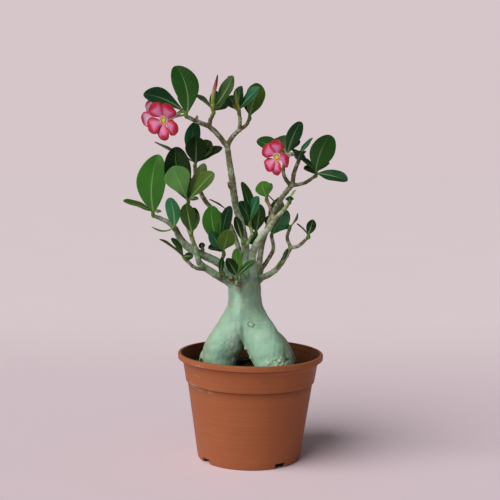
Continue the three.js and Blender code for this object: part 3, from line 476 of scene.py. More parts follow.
# Each leaf is (x, y, z, width, turn, arch, sway, tint): its tip from the shoot's foot, its
# width, the turn of its upper face, how its midrib bows, and its green; a last number, where
# there is one, replaces LEAF_BROADEST. Each budlet is a row of stations from the same foot.
SHOOTS = {
    "top_left": {"foot": (-76, -13, 395), "aim": (-3, -1, 6), "leaves": (
        (-14, 2, 58, 31, 12, 0.03, 0.1, "deep"),
        (-49, -16, 24, 24, 35, 0.03, 0.08, "teal_dark", 1.9),
        (-5, 36, 33, 20, 0, 0.06, 0, "dark"),
        (-8, 30, 10, 16, 0, 0.1, 0, "dark"),
    )},
    "top_spur": {"foot": (-48, -6, 399), "aim": (0, 0, 8), "leaves": (
        (4, 32, 29, 15, 30, -0.1, 0, "teal_dark"),
        (16, 34, 22, 16, -20, -0.1, 0, "dark"),
        (-24, 6, 23, 20, 74, 0.03, 0, "grey_olive"),
        (22, -3, 44, 18, -32, 0.04, 0.1, "olive_dark"),
    ), "budlets": (
        ((0, 0, 3, 1.6), (-2, -2, 9, 1.6), (-3, -3, 13, 0.9)),
    )},
    "top_fork_left": {"foot": (-18, 4, 400), "aim": (0, 0, 8), "leaves": (
        (-14, 8, 21, 20, 30, 0.05, 0, "teal_dark"),
        (1, 6, 33, 20, -50, 0.05, 0, "teal_dark"),
        (23, -12, 30, 20, -50, 0.04, 0, "teal"),
        (-4, 24, 22, 18, -10, 0.1, 0, "dark"),
    ), "budlets": (
        ((0, 0, 4, 1.8), (-3, -4, 14, 2.2), (-4, -5, 23, 1.6), (-4, -5, 26, 0.8)),
        ((0, 0, 3, 1.6), (-6, -5, 9, 1.6), (-7, -6, 13, 0.9)),
    )},
    "top_fork_right": {"foot": (-7, 11, 394), "aim": (1, 1, 8), "leaves": (
        (11, 8, 43, 26, 28, 0.05, -0.04, "olive"),
        (3, 28, 24, 19, -10, 0.1, 0, "dark"),
    )},
    "left_back": {"foot": (-69, 18, 338), "aim": (1, -1, 8), "leaves": (
        (0, 8, 54, 20, 25, 0.05, -0.12, "teal"),
        (1, -6, 36, 27, 10, 0.1, 0, "dark"),
        (17, 2, 32, 21, -20, 0.05, 0, "olive_dark", 1.7),
        (31, 10, 25, 20, -52, 0.04, 0, "olive_dark"),
        (-47, -10, 29, 18, 84, -0.02, 0, "grey_olive"),
        (8, 30, 20, 19, -10, 0.1, 0, "dark"),
    )},
    "left_upper": {"foot": (-75, -22, 296), "aim": (2, -2, 7), "leaves": (
        (-15, -22, 43, 30, 4, 0.1, 0, "light", 2.7),
        (-14, -3, 65, 32, 15, 0.05, -0.08, "dark"),
        (30, -10, 37, 20, -30, 0.04, 0, "olive", 2),
        (19, 4, 47, 16, 170, 0.04, 0, "brown_olive"),
        (13, -12, 7, 8, -60, 0.04, 0, "olive_dark"),
        (-7, 24, 30, 22, 0, 0.1, 0, "dark"),
    )},
    "left_inner": {"foot": (-69, -31, 261), "aim": (1, -1, 8), "leaves": (
        (-6, -8, 37, 19, -8, 0.05, 0, "olive_dark"),
        (8, -8, 26, 13, -30, 0.05, 0, "olive_dark"),
        (2, 8, 32, 13, 20, 0.05, 0, "dark"),
    )},
    "left_end": {"foot": (-112, -18, 282), "aim": (-3, -1, 8), "leaves": (
        (4, -10, 70, 35, -8, 0.05, -0.06, "fresh", 1.15),
        (-35, -10, 17, 20, 74, 0.03, 0, "olive"),
        (-9, 26, 48, 25, 5, 0.1, 0, "olive_dark"),
        (8, -6, 6, 4, 0, 0.02, 0, "olive_dark"),
    )},
    "left_spur": {"foot": (-89, -22, 267), "aim": (0, -6, 5), "leaves": (
        (-5, -8, 37, 19, -20, 0.05, 0.08, "sea_green"),
        (-25, -12, 4, 8, 82, -0.2, 0, "bright"),
    )},
    "left_knee": {"foot": (-57, -17, 243), "aim": (0, -1, 4), "leaves": (
        (-2, -3, 10, 8, 10, 0.05, 0, "dark"),
    )},
    "left_base": {"foot": (-37, -24, 215), "aim": (0, -1, 5), "leaves": (
        (2, -9, 23, 8, 35, 0.05, 0, "deep"),
    )},
    "low_left": {"foot": (-74, -36, 234), "aim": (-5, -1, 6), "leaves": (
        (-30, -9, 24, 12, 84, 0.03, 0, "brown_olive"),
        (-17, -11, 25, 14, 66, 0.03, 0, "deep"),
        (8, -8, 6, 9, 0, 0.05, 0, "dark"),
    )},
    "heart_left": {"foot": (-33, -28, 239), "aim": (0, -2, 8), "leaves": (
        (-14, -12, 57, 23, -8, 0.05, -0.06, "fresh", 2.1),
        (-15, -20, 29, 15, 10, 0.05, 0, "teal"),
        (7, -6, 57, 16, 20, 0.05, -0.1, "teal_dark", 1.8),
        (-16, -18, 10, 13, 60, 0.05, 0, "dark"),
        (6, -26, 31, 20, 8, 0.1, 0, "olive", 1.8),
    )},
    "heart_back": {"foot": (-29, 20, 287), "aim": (-3, 0, 4), "leaves": (
        (-23, -2, 14, 9, 82, 0.02, 0, "brown_olive"),
    )},
    "heart_front": {"foot": (-17, -23, 211), "aim": (0, -3, 6), "leaves": (
        (-2, -10, 37, 12, 5, 0.05, 0, "bright"),
        (20, -13, 24, 11, -55, 0.05, 0, "deep"),
        (-12, -14, 26, 13, 20, 0.05, 0, "dark"),
    )},
    "heart_shoot": {"foot": (-3, -22, 272), "aim": (0, -1, 8), "leaves": (
        (-11, -4, 51, 18, 50, 0.06, 0, "deep"),
        (-13, -12, 29, 17, 40, 0.05, 0, "teal_dark"),
        (9, -10, 35, 19, -50, 0.05, 0, "teal"),
    )},
    "heart_side": {"foot": (-11, -30, 253), "aim": (-1, 0, 5), "leaves": (
        (-9, 0, 31, 11, 20, 0.03, 0, "dark"),
    )},
    "pale_twig_end": {"foot": (16, -18, 301), "aim": (-1, -1, 8), "leaves": (
        (-7, -8, 23, 19, 0, 0.06, -0.04, "bright", 1.8),
        (3, 8, 21, 10, -20, 0.05, 0, "teal"),
    )},
    "pale_end": {"foot": (40, -18, 299), "aim": (2, -2, 7), "leaves": (
        (1, -10, 9, 10, 0, 0.05, 0, "deep"),
        (8, 4, 16, 5, -60, 0.05, 0, "lime"),
    )},
    "right_back": {"foot": (23, 30, 256), "aim": (0, 2, 8), "leaves": (
        (17, 0, 34, 23, -10, 0.06, 0, "sea_green"),
        (8, 6, 47, 20, 0, 0.06, 0, "olive_dark"),
        (0, 24, 26, 19, -5, 0.1, 0, "dark"),
        (18, 24, 18, 19, -25, 0.1, 0, "dark"),
    )},
    "middle_back": {"foot": (4, 36, 258), "aim": (0, 2, 8), "leaves": (
        (4, -4, 38, 17, 15, 0.05, 0, "olive_dark"),
        (-6, -5, 24, 15, 40, 0.05, 0, "dark"),
        (-16, 18, 26, 20, 15, 0.1, 0, "dark"),
        (-7, -14, -9, 11, -30, 0.05, 0, "dark"),
    )},
    "right_fork": {"foot": (38, 2, 350), "aim": (0, 1, 7), "leaves": (
        (-35, -2, 21, 22, 40, 0.05, 0, "deep", 1.8),
        (-11, 14, 25, 29, 8, 0.08, 0, "olive_dark"),
        (15, -2, 43, 18, 15, 0.04, -0.06, "teal_dark"),
        (9, 28, 24, 20, -15, 0.1, 0, "dark"),
    )},
    "right_middle": {"foot": (51, 8, 346), "aim": (0, -2, 7), "leaves": (
        (3, -18, 13, 17, -10, 0.08, 0, "teal_dark"),
        (17, 6, 29, 11, -62, 0.04, 0, "teal"),
        (2, 26, 14, 18, -5, 0.1, 0, "dark"),
    )},
    "right_end": {"foot": (70, 2, 330), "aim": (3, 0, 7), "leaves": (
        (17, -6, 48, 32, 22, 0.05, -0.11, "deep"),
        (37, -16, -3, 20, -45, 0.03, 0, "teal_dark"),
        (-16, -17, 20, 13, 60, 0.04, 0, "dark"),
        (-13, -19, 9, 12, 50, 0.04, 0, "dark"),
        (12, 26, 19, 20, -20, 0.1, 0, "dark"),
    )},
    "low_right": {"foot": (63, -5, 259), "aim": (1, -1, 7), "leaves": (
        (6, -4, 22, 12, 10, 0.05, 0, "dark"),
        (-13, -8, 17, 6, 75, 0.03, 0, "dark"),
    )},
    "low_right_bud": {"foot": (42, -3, 268), "aim": (2, -1, 6), "leaves": (
        (9, -6, 20, 11, 76, 0.04, 0, "brown_olive"),
    )},
    "low_right_spur": {"foot": (31, -2, 227), "aim": (2, -3, 5), "leaves": (
        (9, -8, 20, 9, 50, 0.04, 0, "deep"),
    )},
}

# Each corolla grows from a shoot: the foot of its tube, the way it faces, a point its stalk
# bends through, the angles of its petals, how wide it opens, and how pale it is; a paler
# flower also takes a stronger painted glow for light let through its petals.
COROLLAS = {
    "corolla_front": {
        "shoot": "top_left",
        "base": (-88, -20, 396.5),
        "aim": (-0.47, -0.85, -0.26),
        "bend": (-83, -15, 401.5),
        "petals": (-155, -92, -30, 54, 120),
        "spread": 1.0,
        "paler": 0.0,
    },
    "corolla_behind": {
        "shoot": "top_left",
        "base": (-94, -7, 395.5),
        "aim": (-0.76, 0.65, 0.05),
        "bend": (-83, -11, 397),
        "petals": (-160, -88, -16, 56, 128),
        "spread": 0.92,
        "paler": 1.0,
    },
    "corolla_right": {
        "shoot": "right_middle",
        "base": (43.5, -5, 355.5),
        "aim": (-0.66, -0.73, -0.15),
        "bend": (48, 3, 355),
        "petals": (-137, -84, -8, 80, 146),
        "spread": 0.92,
        "paler": 0.0,
    },
}

BUDS = {
    "furled_bud_tall": {
        "shoot": "top_spur",
        "stations": ((-48, -11, 410, 2), (-48, -13, 418, 2.3), (-46, -14, 428, 2.2),
                     (-44, -14, 437, 1.5), (-43, -14, 443, 0.6)),
    },
    "furled_bud_behind": {
        "shoot": "top_spur",
        "stations": ((-45, 0, 410, 1.8), (-42, 2, 417, 2), (-37.5, 4, 427, 2),
                     (-33.5, 6.5, 437, 1.4), (-31, 8, 444, 0.6)),
    },
}

# Marks on the front of the caudex: (x, z, half width, half height, tint, strength, relief)
# in millimetres, where a tint is laid on by a strength and the bark is raised by a relief.
# Besides the bark's own spots, creases and bumps, some rows paint light: painted shade on
# the neck and in the crotch, a painted highlight down the neck, and painted light on the
# inner side of the left leg.
CAUDEX_MARKS_AND_PAINTED_LIGHT = (
    # Painted shade on the left of the neck.
    (-23.5, 184, 4.5, 22, (114, 142, 118), 0.65, 0),
    (-33, 156, 9, 12, (134, 164, 134), 0.45, 0),
    # Painted shade down the middle and right of the neck; one row also presses a slight groove.
    (-9.5, 189, 4.5, 32, (96, 124, 100), 0.7, 0),
    (-1, 189, 8, 36, (102, 130, 104), 0.7, -0.2),
    (10, 194, 6, 34, (104, 122, 96), 0.35, 0),
    # A painted highlight stripe down the left of the neck.
    (-16, 187, 2.2, 26, (168, 218, 202), 0.5, 0),
    # A darker olive-brown patch and a raised brown band at the top of the neck.
    (6, 209, 13, 13, (92, 106, 78), 0.6, 0),
    (-16, 206, 8, 2.2, (112, 92, 54), 0.75, 0.4),
    # Painted shade in the crotch between the legs, over a crease pressed in.
    (-11.5, 151, 2.2, 9, (74, 96, 74), 0.75, -1.2),
    (-10.4, 139, 2.4, 8, (42, 42, 26), 0.9, -0.6),
    (-9.4, 126, 2.6, 12, (38, 34, 22), 0.85, -0.3),
    # Painted light on the inner side of the left leg.
    (-20, 128, 8, 19, (224, 255, 236), 0.85, 0),
    # Further tints, creases, dark spots and pale bumps of the legs.
    (-50, 130, 5, 22, (142, 158, 128), 0.6, 0),
    (9, 164, 7, 1.1, (112, 142, 114), 0.45, -0.25),
    (10, 160, 8, 0.9, (112, 142, 114), 0.35, -0.2),
    (9, 156.5, 6, 0.9, (112, 142, 114), 0.3, -0.2),
    (34, 138, 4.5, 22, (124, 148, 118), 0.5, 0),
    (42, 140, 4, 16, (150, 140, 112), 0.5, 0),
    (39.5, 126, 2.4, 8, (84, 82, 54), 0.75, -0.6),
    (42, 121.5, 3, 2.2, (40, 36, 22), 0.95, -0.5),
    (-5.8, 130.8, 1.5, 1.7, (196, 208, 180), 0.8, 1.5),
    (-19.7, 114, 1.7, 3, (214, 222, 178), 0.9, 1.9),
    (0, 120.5, 1.4, 1.4, (150, 176, 140), 0.7, 1.1),
)

# An old leaf scar, a dark ring round a pale middle: (x, z, half width, half height).
RINGED_SCAR = (0, 160.2, 3.9, 2.5)

# Rough, pale, knobbly skin at the foot of the right leg: (x, z, half width, half height).
KNOBBLY_PATCH = (31, 118, 14.5, 7.5)

# Bristly upright brush marks on the inner side of the left leg, in the same four numbers.
BRUSHED_PATCH = (-27, 129, 12, 17)

# ------------------------------------------------------------------ shapes


def unit(vectors):
    """Vectors divided by their own lengths."""
    vectors = np.asarray(vectors, float)
    return vectors / np.linalg.norm(vectors, axis=-1, keepdims=True)


def square_to(vectors, along):
    """What is left of vectors once their share along a unit direction is taken off, made unit."""
    vectors = np.broadcast_to(np.asarray(vectors, float), along.shape)
    return unit(vectors - along * (vectors * along).sum(-1, keepdims=True))


def turned_about(vector, axis, degrees):
    """Vector turned about a unit axis it is square to: v cos a + (axis x v) sin a."""
    angle = math.radians(degrees)
    return vector * math.cos(angle) + np.cross(axis, vector) * math.sin(angle)


def ripple(places, size, seed, octaves=3):
    """Smooth unevenness between about -1 and 1: the mean of sines along random directions,
    each octave half the size and half the strength of the one before."""
    dice = np.random.default_rng(seed)
    total = np.zeros(len(places))
    for octave in range(octaves):
        directions = unit(dice.normal(size=(7, 3))) * (2 * math.pi * 2**octave / size)
        phases = dice.uniform(0, 2 * math.pi, 7)
        total += np.sin(places @ directions.T + phases).mean(1) * 2 / 2**octave
    return total


def curve_through(stations, steps):
    """Points, directions and radii along a Catmull-Rom curve: each span is the cubic whose
    slope at a station is half the step between that station's neighbours."""
    stations = np.array(stations, float)
    spans = len(stations) - 1
    knots = np.vstack([2 * stations[0] - stations[1], stations, 2 * stations[-1] - stations[-2]])
    at = np.linspace(0, spans, spans * steps + 1)
    span = np.minimum(at.astype(int), spans - 1)
    u = (at - span)[:, None]
    before, start, end, after = (knots[span + k] for k in range(4))
    leave, arrive = (end - before) / 2, (after - start) / 2
    curve = (
        (2 * u**3 - 3 * u**2 + 1) * start
        + (u**3 - 2 * u**2 + u) * leave
        + (3 * u**2 - 2 * u**3) * end
        + (u**3 - u**2) * arrive
    )
    slope = (
        (6 * u**2 - 6 * u) * (start - end)
        + (3 * u**2 - 4 * u + 1) * leave
        + (3 * u**2 - 2 * u) * arrive
    )
    return curve[:, :3], unit(slope[:, :3]), np.maximum(curve[:, 3], 0.15)


def skin(rings, **marks):
    """A closed part over rings of points (rows, sides, 3): neighbours are joined by quads
    and each end is closed by a fan round its own middle. Marks are values for each point."""
    rows, sides = rings.shape[:2]
    points = np.vstack([rings.reshape(-1, 3), rings[0].mean(0), rings[-1].mean(0)])
    row = np.arange(rows - 1)[:, None] * sides
    here = np.arange(sides)[None]
    following = (here + 1) % sides
    quads = np.stack(
        [row + here, row + following, row + sides + following, row + sides + here], -1
    ).reshape(-1, 4)
    last = (rows - 1) * sides
    foot = np.stack([following[0], here[0], np.full(sides, rows * sides)], -1)
    head = np.stack([last + here[0], last + following[0], np.full(sides, rows * sides + 1)], -1)
    spread = {}
    for name, values in marks.items():
        values = np.broadcast_to(values, (rows, sides) + np.shape(values)[2:])
        flat = values.reshape((rows * sides,) + values.shape[2:])
        spread[name] = np.concatenate([flat, values[:1, 0], values[-1:, 0]])
    return {"points": points, "quads": quads, "tris": np.vstack([foot, head]), "marks": spread}


def joined(parts):
    """Several parts as one, with the later ones' corner numbers moved on."""
    starts = np.cumsum([0] + [len(part["points"]) for part in parts[:-1]])
    return {
        "points": np.vstack([part["points"] for part in parts]),
        "quads": np.vstack([part["quads"] + start for part, start in zip(parts, starts)]),
        "tris": np.vstack([part["tris"] + start for part, start in zip(parts, starts)]),
        "marks": {
            name: np.concatenate([part["marks"][name] for part in parts])
            for name in parts[0]["marks"]
        },
    }


def tube(stations, steps, sides, bulge=None, **marks):
    """Round stem along a curve. Its ends are rounded: over the last radius of length the
    ring's radius shrinks as the square root of 1 minus the squared share of the way out."""
    points, along, radii = curve_through(stations, steps)
    out = np.array([0.95, 0.8, 0.5])
    foot = points[0] - along[0] * (radii[0] * 0.35 * out)[:, None]
    head = points[-1] + along[-1] * (radii[-1] * 0.35 * out[::-1])[:, None]
    shrink = np.sqrt(1 - out**2)
    points = np.vstack([foot, points, head])
    along = np.vstack([along[[0] * 3], along, along[[-1] * 3]])
    radii = np.concatenate([radii[0] * shrink, radii, radii[-1] * shrink[::-1]])
    side = square_to((0.1, 1, 0), along)
    across = np.cross(along, side)
    angle = np.linspace(0, 2 * math.pi, sides, endpoint=False)
    share = np.linspace(0, 1, len(points))[:, None]
    girth = radii[:, None] * (1 if bulge is None else bulge(share, angle[None]))
    cos, sin = np.cos(angle)[None, :, None], np.sin(angle)[None, :, None]
    rings = points[:, None] + girth[..., None] * (cos * side[:, None] + sin * across[:, None])
    made = {
        name: value(share, angle[None] + 0 * share) if callable(value) else value
        for name, value in marks.items()
    }
    return skin(rings, **made)


def lathe(profile, sides, **marks):
    """Solid turned round the upright axis: each (radius, height) of the profile becomes a
    ring, and a profile that starts and ends on the axis closes there."""
    profile = np.array(profile, float)
    angle = np.linspace(0, 2 * math.pi, sides, endpoint=False)
    ring = np.stack([np.cos(angle), np.sin(angle)], -1)
    rings = np.concatenate(
        [profile[:, None, :1] * ring[None], np.repeat(profile[:, None, 1:], sides, 1)], -1
    )
    return skin(rings, **marks)


def blade(root, tip, face, width, root_width, broadest, fold, arch, sway, **build):
    """Thin leaf or petal round its midrib. With t the share of the way to the tip, its half
    width is half of width x sin(pi t^broadest)^(0.75 - t / 4), and no less than the stalk's
    at the root; the midrib bows by 4 arch L t (1 - t) towards the upper face and by sway to
    one side; the halves rise by the fold, the margins ripple, and the body thins from rib to
    margin."""
    rows, halves = build["rows"], build["halves"]
    chord = np.asarray(tip, float) - root
    length = np.linalg.norm(chord)
    along = chord / length
    up = square_to(face, along)
    across = np.cross(along, up)
    t = (1 - np.cos(math.pi * np.arange(rows + 1) / rows)) / 2
    swell = np.maximum(np.sin(math.pi * t**broadest), 0) ** (BLADE_FULLNESS - BLADE_ROUNDING * t)
    end = np.clip((1 - t) * length / BLADE_POINT, 0.08, 1)
    half = np.maximum(np.maximum(width * swell, root_width * (1 - t)), BLADE_POINT * end) / 2
    s = np.sin(math.pi / 2 * np.linspace(-1, 1, 2 * halves + 1))
    s = np.concatenate([s, s[-2:0:-1]])
    upper = np.concatenate([np.ones(2 * halves + 1), -np.ones(2 * halves - 1)])
    upper[[0, 2 * halves]] = 0
    T, S, U = t[:, None], s[None], upper[None]
    H = half[:, None]
    stalk = np.clip(1 - T / STALK_SHARE, 0, 1)
    thick = build["margin"] + (build["rib"] - build["margin"]) * (1 - np.abs(S)) ** BLADE_SPREAD
    filled = stalk * (root_width * STALK_THICKNESS - thick) * (1 - S**2)
    body = thick * (1 - BLADE_THINNING * T) + filled
    groove = GROOVE_DEPTH * np.exp(-((S * H / GROOVE_WIDTH) ** 2)) * (1 - stalk) * (U > 0)
    ripples = 2 * math.pi * build["waves"] * T + build["phase"] + 0.9 * np.sign(S)
    wave = build["wave"] * np.sin(ripples)
    cup = np.abs(S) * H * math.sin(fold) + build["curl"] * H * S**2 * np.sin(math.pi * T)
    lift = cup + wave * S**2 * np.sin(math.pi * T) ** 0.5 + U * body / 2 - groove
    sideways = 4 * sway * length * T * (1 - T) + S * H * math.cos(fold)
    bow = 4 * arch * length * T * (1 - T) + build["tip_curl"] * length * T**4
    rings = (
        root
        + along * (length * T)[..., None]
        + across * sideways[..., None]
        + up * (bow + lift)[..., None]
    )
    shape = np.ones_like(T * S)
    where = np.stack([S * shape, np.abs(S * H) * shape, length * T * shape], -1)
    kind = np.stack([(1 - U) / 2 * shape, T * shape, build.get("paler", 0) * shape], -1)
    tinted = {"tint": build["tint"][None, None]} if "tint" in build else {}
    return skin(rings, where=where, kind=kind, **tinted)


# ------------------------------------------------------------------ pieces in the scene


def linear(colour):
    """8-bit sRGB as linear light: ((c + 0.055) / 1.055)^2.4 above the toe, c / 12.92 in it."""
    colour = np.asarray(colour, float) / 255
    return np.where(colour > 0.04045, ((colour + 0.055) / 1.055) ** 2.4, colour / 12.92)


def rgba(colour):
    """8-bit sRGB as the linear four numbers a colour socket takes."""
    return (*(float(c) for c in linear(colour)), 1.0)


def tone(name):
    """One of the finishes' named colours, as a colour socket takes it."""
    return rgba(TONES[name])


def give_marks(mesh, marks):
    """Writes a tint or three numbers for each point to the mesh."""
    for name, values in marks.items():
        values = np.asarray(values, np.float32)
        if name == "tint":
            layer = mesh.color_attributes.new(name, "FLOAT_COLOR", "POINT")
            values = np.concatenate([values, np.ones((len(values), 1), np.float32)], 1)
            layer.data.foreach_set("color", values.ravel())
        else:
            layer = mesh.attributes.new(name, "FLOAT_VECTOR", "POINT")
            layer.data.foreach_set("vector", values.ravel())


def mesh_of(name, part):
    """A mesh in metres from a part in millimetres, shaded smooth."""
    mesh = bpy.data.meshes.new(name)
    faces = part["quads"].tolist() + part["tris"].tolist()
    mesh.from_pydata((part["points"] * MM).tolist(), [], faces)
    mesh.shade_smooth()
    give_marks(mesh, part["marks"])
    mesh.validate()
    return mesh


def new_object(name, mesh):
    """An object for a mesh, in the scene, at the origin."""
    piece = bpy.data.objects.new(name, mesh)
    bpy.context.scene.collection.objects.link(piece)
    return piece


def settle(piece, material, nodes):
    """Gives a finished piece its finish, its body and the nodes it stands for."""
    piece.data.materials.clear()
    piece.data.materials.append(material)
    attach(piece, "root")
    if nodes:
        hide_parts(*nodes)


def finished(piece):
    """Applies a piece's modifiers to its mesh."""
    shaped = piece.evaluated_get(bpy.context.evaluated_depsgraph_get())
    mesh = bpy.data.meshes.new_from_object(shaped)
    rough = piece.data
    piece.modifiers.clear()
    piece.data = mesh
    bpy.data.meshes.remove(rough)
    mesh.name = piece.name


# ------------------------------------------------------------------ nodes for the finishes


class Nodes:
    """Lays down the nodes of one tree. A value given for a socket is linked if it is a
    socket itself, and set otherwise."""

    def __init__(self, tree):
        self.tree = tree

    def add(self, kind, inputs=(), **settings):
        node = self.tree.nodes.new(kind)
        for name, value in settings.items():
            setattr(node, name, value)
        for name, value in dict(inputs).items():
            self.plug(node.inputs[name], value)
        return node

    def plug(self, socket, value):
        if isinstance(value, bpy.types.NodeSocket):
            self.tree.links.new(value, socket)
        else:
            socket.default_value = value

    def math(self, operation, first, second=0.0, clamp=False):
        node = self.add("ShaderNodeMath", {0: first, 1: second}, operation=operation)
        node.use_clamp = clamp
        return node.outputs[0]

    def plus(self, first, second, clamp=False):
        return self.math("ADD", first, second, clamp)

    def minus(self, first, second):
        return self.math("SUBTRACT", first, second)

    def times(self, first, second, clamp=False):
        return self.math("MULTIPLY", first, second, clamp)

    def apart(self, first, second):
        """How far two values lie apart."""
        return self.math("ABSOLUTE", self.minus(first, second))

    def lines(self, run, spacing, low, high):
        """1 on lines set spacing apart along a run, eased to 0 between them."""
        turns = self.math("FRACT", self.math("DIVIDE", run, spacing))
        return self.smooth(self.apart(turns, 0.5), low, high)

    def smooth(self, value, low, high, start=0.0, stop=1.0):
        """Value eased from start to stop as it goes from low to high."""
        inputs = {"Value": value, "From Min": low, "From Max": high}
        inputs.update({"To Min": start, "To Max": stop})
        return self.add("ShaderNodeMapRange", inputs, interpolation_type="SMOOTHSTEP").outputs[0]

    def mix(self, share, first, second):
        """Second colour over the first, by share."""
        node = self.add("ShaderNodeMix", data_type="RGBA")
        self.plug(node.inputs[0], share)
        self.plug(node.inputs[6], first)
        self.plug(node.inputs[7], second)
        return node.outputs[2]

    def noise(self, place, scale, detail=3.0, roughness=0.55):
        inputs = {"Vector": place, "Scale": scale, "Detail": detail, "Roughness": roughness}
        return self.add("ShaderNodeTexNoise", inputs).outputs["Fac"]

    def stretched(self, place, by):
        """Places multiplied by three numbers, which squeezes a pattern along each axis."""
        inputs = {0: place, 1: by}
        return self.add("ShaderNodeVectorMath", inputs, operation="MULTIPLY").outputs[0]

    def place(self):
        return self.add("ShaderNodeTexCoord").outputs["Object"]

    def split(self, vector):
        return self.add("ShaderNodeSeparateXYZ", {0: vector}).outputs

    def marks(self, name):
        """The three numbers that the mesh holds for each point under a name."""
        return self.split(self.add("ShaderNodeAttribute", attribute_name=name).outputs["Vector"])

    def tint(self):
        """The tint that the mesh holds for each point."""
        return self.add("ShaderNodeAttribute", attribute_name="tint").outputs["Color"]

    def near(self, place, spot, reach, strength):
        """Strength at a spot that eases to nothing at its reach along each axis."""
        step = self.add("ShaderNodeVectorMath", {0: place, 1: spot}, operation="SUBTRACT")
        step = self.stretched(step.outputs[0], tuple(1 / size for size in reach))
        far = self.add("ShaderNodeVectorMath", {0: step}, operation="LENGTH").outputs["Value"]
        return self.smooth(far, 0.2, 1.0, strength, 0.0)

    def off_axis(self, place):
        """Distance of a place from the upright axis."""
        flat = self.stretched(place, (1, 1, 0))
        return self.add("ShaderNodeVectorMath", {0: flat}, operation="LENGTH").outputs["Value"]

    def bump(self, height, distance, strength=1.0):
        inputs = {"Height": height, "Distance": distance, "Strength": strength}
        return self.add("ShaderNodeBump", inputs).outputs["Normal"]


def new_finish(name):
    """A new material and its nodes, with the shader ready to be plugged."""
    material = bpy.data.materials.new(name)
    material.use_nodes = True
    nodes = Nodes(material.node_tree)
    return material, nodes, material.node_tree.nodes["Principled BSDF"].inputs


def new_group(name, inputs, outputs):
    """An empty node group with these sockets, each (name, kind)."""
    tree = bpy.data.node_groups.new(name, "ShaderNodeTree")
    for label, kind in inputs:
        tree.interface.new_socket(label, in_out="INPUT", socket_type="NodeSocket" + kind)
    for label, kind in outputs:
        tree.interface.new_socket(label, in_out="OUTPUT", socket_type="NodeSocket" + kind)
    nodes = Nodes(tree)
    return tree, nodes, nodes.add("NodeGroupInput").outputs, nodes.add("NodeGroupOutput").inputs


def mottling():
    """Group: a broad cloudy value and a fine grain at given sizes, and a colour darkened
    and lightened by them."""
    known = bpy.data.node_groups.get("mottling")
    if known:
        return known
    tree, nodes, given, result = new_group(
        "mottling",
        (("Colour", "Color"), ("Place", "Vector"), ("Broad scale", "Float"),
         ("Fine scale", "Float"), ("Contrast", "Float")),
        (("Colour", "Color"), ("Broad", "Float"), ("Fine", "Float")),
    )
    broad = nodes.noise(given["Place"], given["Broad scale"], 4.0, 0.6)
    fine = nodes.noise(given["Place"], given["Fine scale"], 2.0, 0.6)
    both = nodes.plus(nodes.times(broad, 0.65), nodes.times(fine, 0.35))
    swing = nodes.times(nodes.minus(both, 0.5), given["Contrast"])
    inputs = {0: given["Colour"], "Scale": nodes.plus(swing, 1.0)}
    scaled = nodes.add("ShaderNodeVectorMath", inputs, operation="SCALE")
    nodes.plug(result["Colour"], scaled.outputs[0])
    nodes.plug(result["Broad"], broad)
    nodes.plug(result["Fine"], fine)
    return tree


def mottled(nodes, colour, place, broad, fine, contrast):
    """Places the mottling group and returns its colour, broad and fine outputs."""
    node = nodes.add("ShaderNodeGroup")
    node.node_tree = mottling()
    for name, value in (("Colour", colour), ("Place", place), ("Broad scale", broad),
                        ("Fine scale", fine), ("Contrast", contrast)):
        nodes.plug(node.inputs[name], value)
    return node.outputs["Colour"], node.outputs["Broad"], node.outputs["Fine"]


def scuffs():
    """Group: a mask of short pale rubs lying round the upright axis."""
    known = bpy.data.node_groups.get("scuffs")
    if known:
        return known
    tree, nodes, given, result = new_group(
        "scuffs", (("Place", "Vector"), ("Amount", "Float")), (("Mask", "Float"),)
    )
    patches = nodes.noise(given["Place"], 28.0, 3.0, 0.6)
    strokes = nodes.noise(nodes.stretched(given["Place"], (60.0, 60.0, 700.0)), 1.0, 4.0, 0.7)
    both = nodes.times(nodes.smooth(patches, 0.52, 0.72), nodes.smooth(strokes, 0.5, 0.72))
    nodes.plug(result["Mask"], nodes.times(both, given["Amount"], clamp=True))
    return tree


def scuffed(nodes, place, amount):
    """Places the scuffs group and returns its mask."""
    node = nodes.add("ShaderNodeGroup")
    node.node_tree = scuffs()
    nodes.plug(node.inputs["Place"], place)
    nodes.plug(node.inputs["Amount"], amount)
    return node.outputs["Mask"]


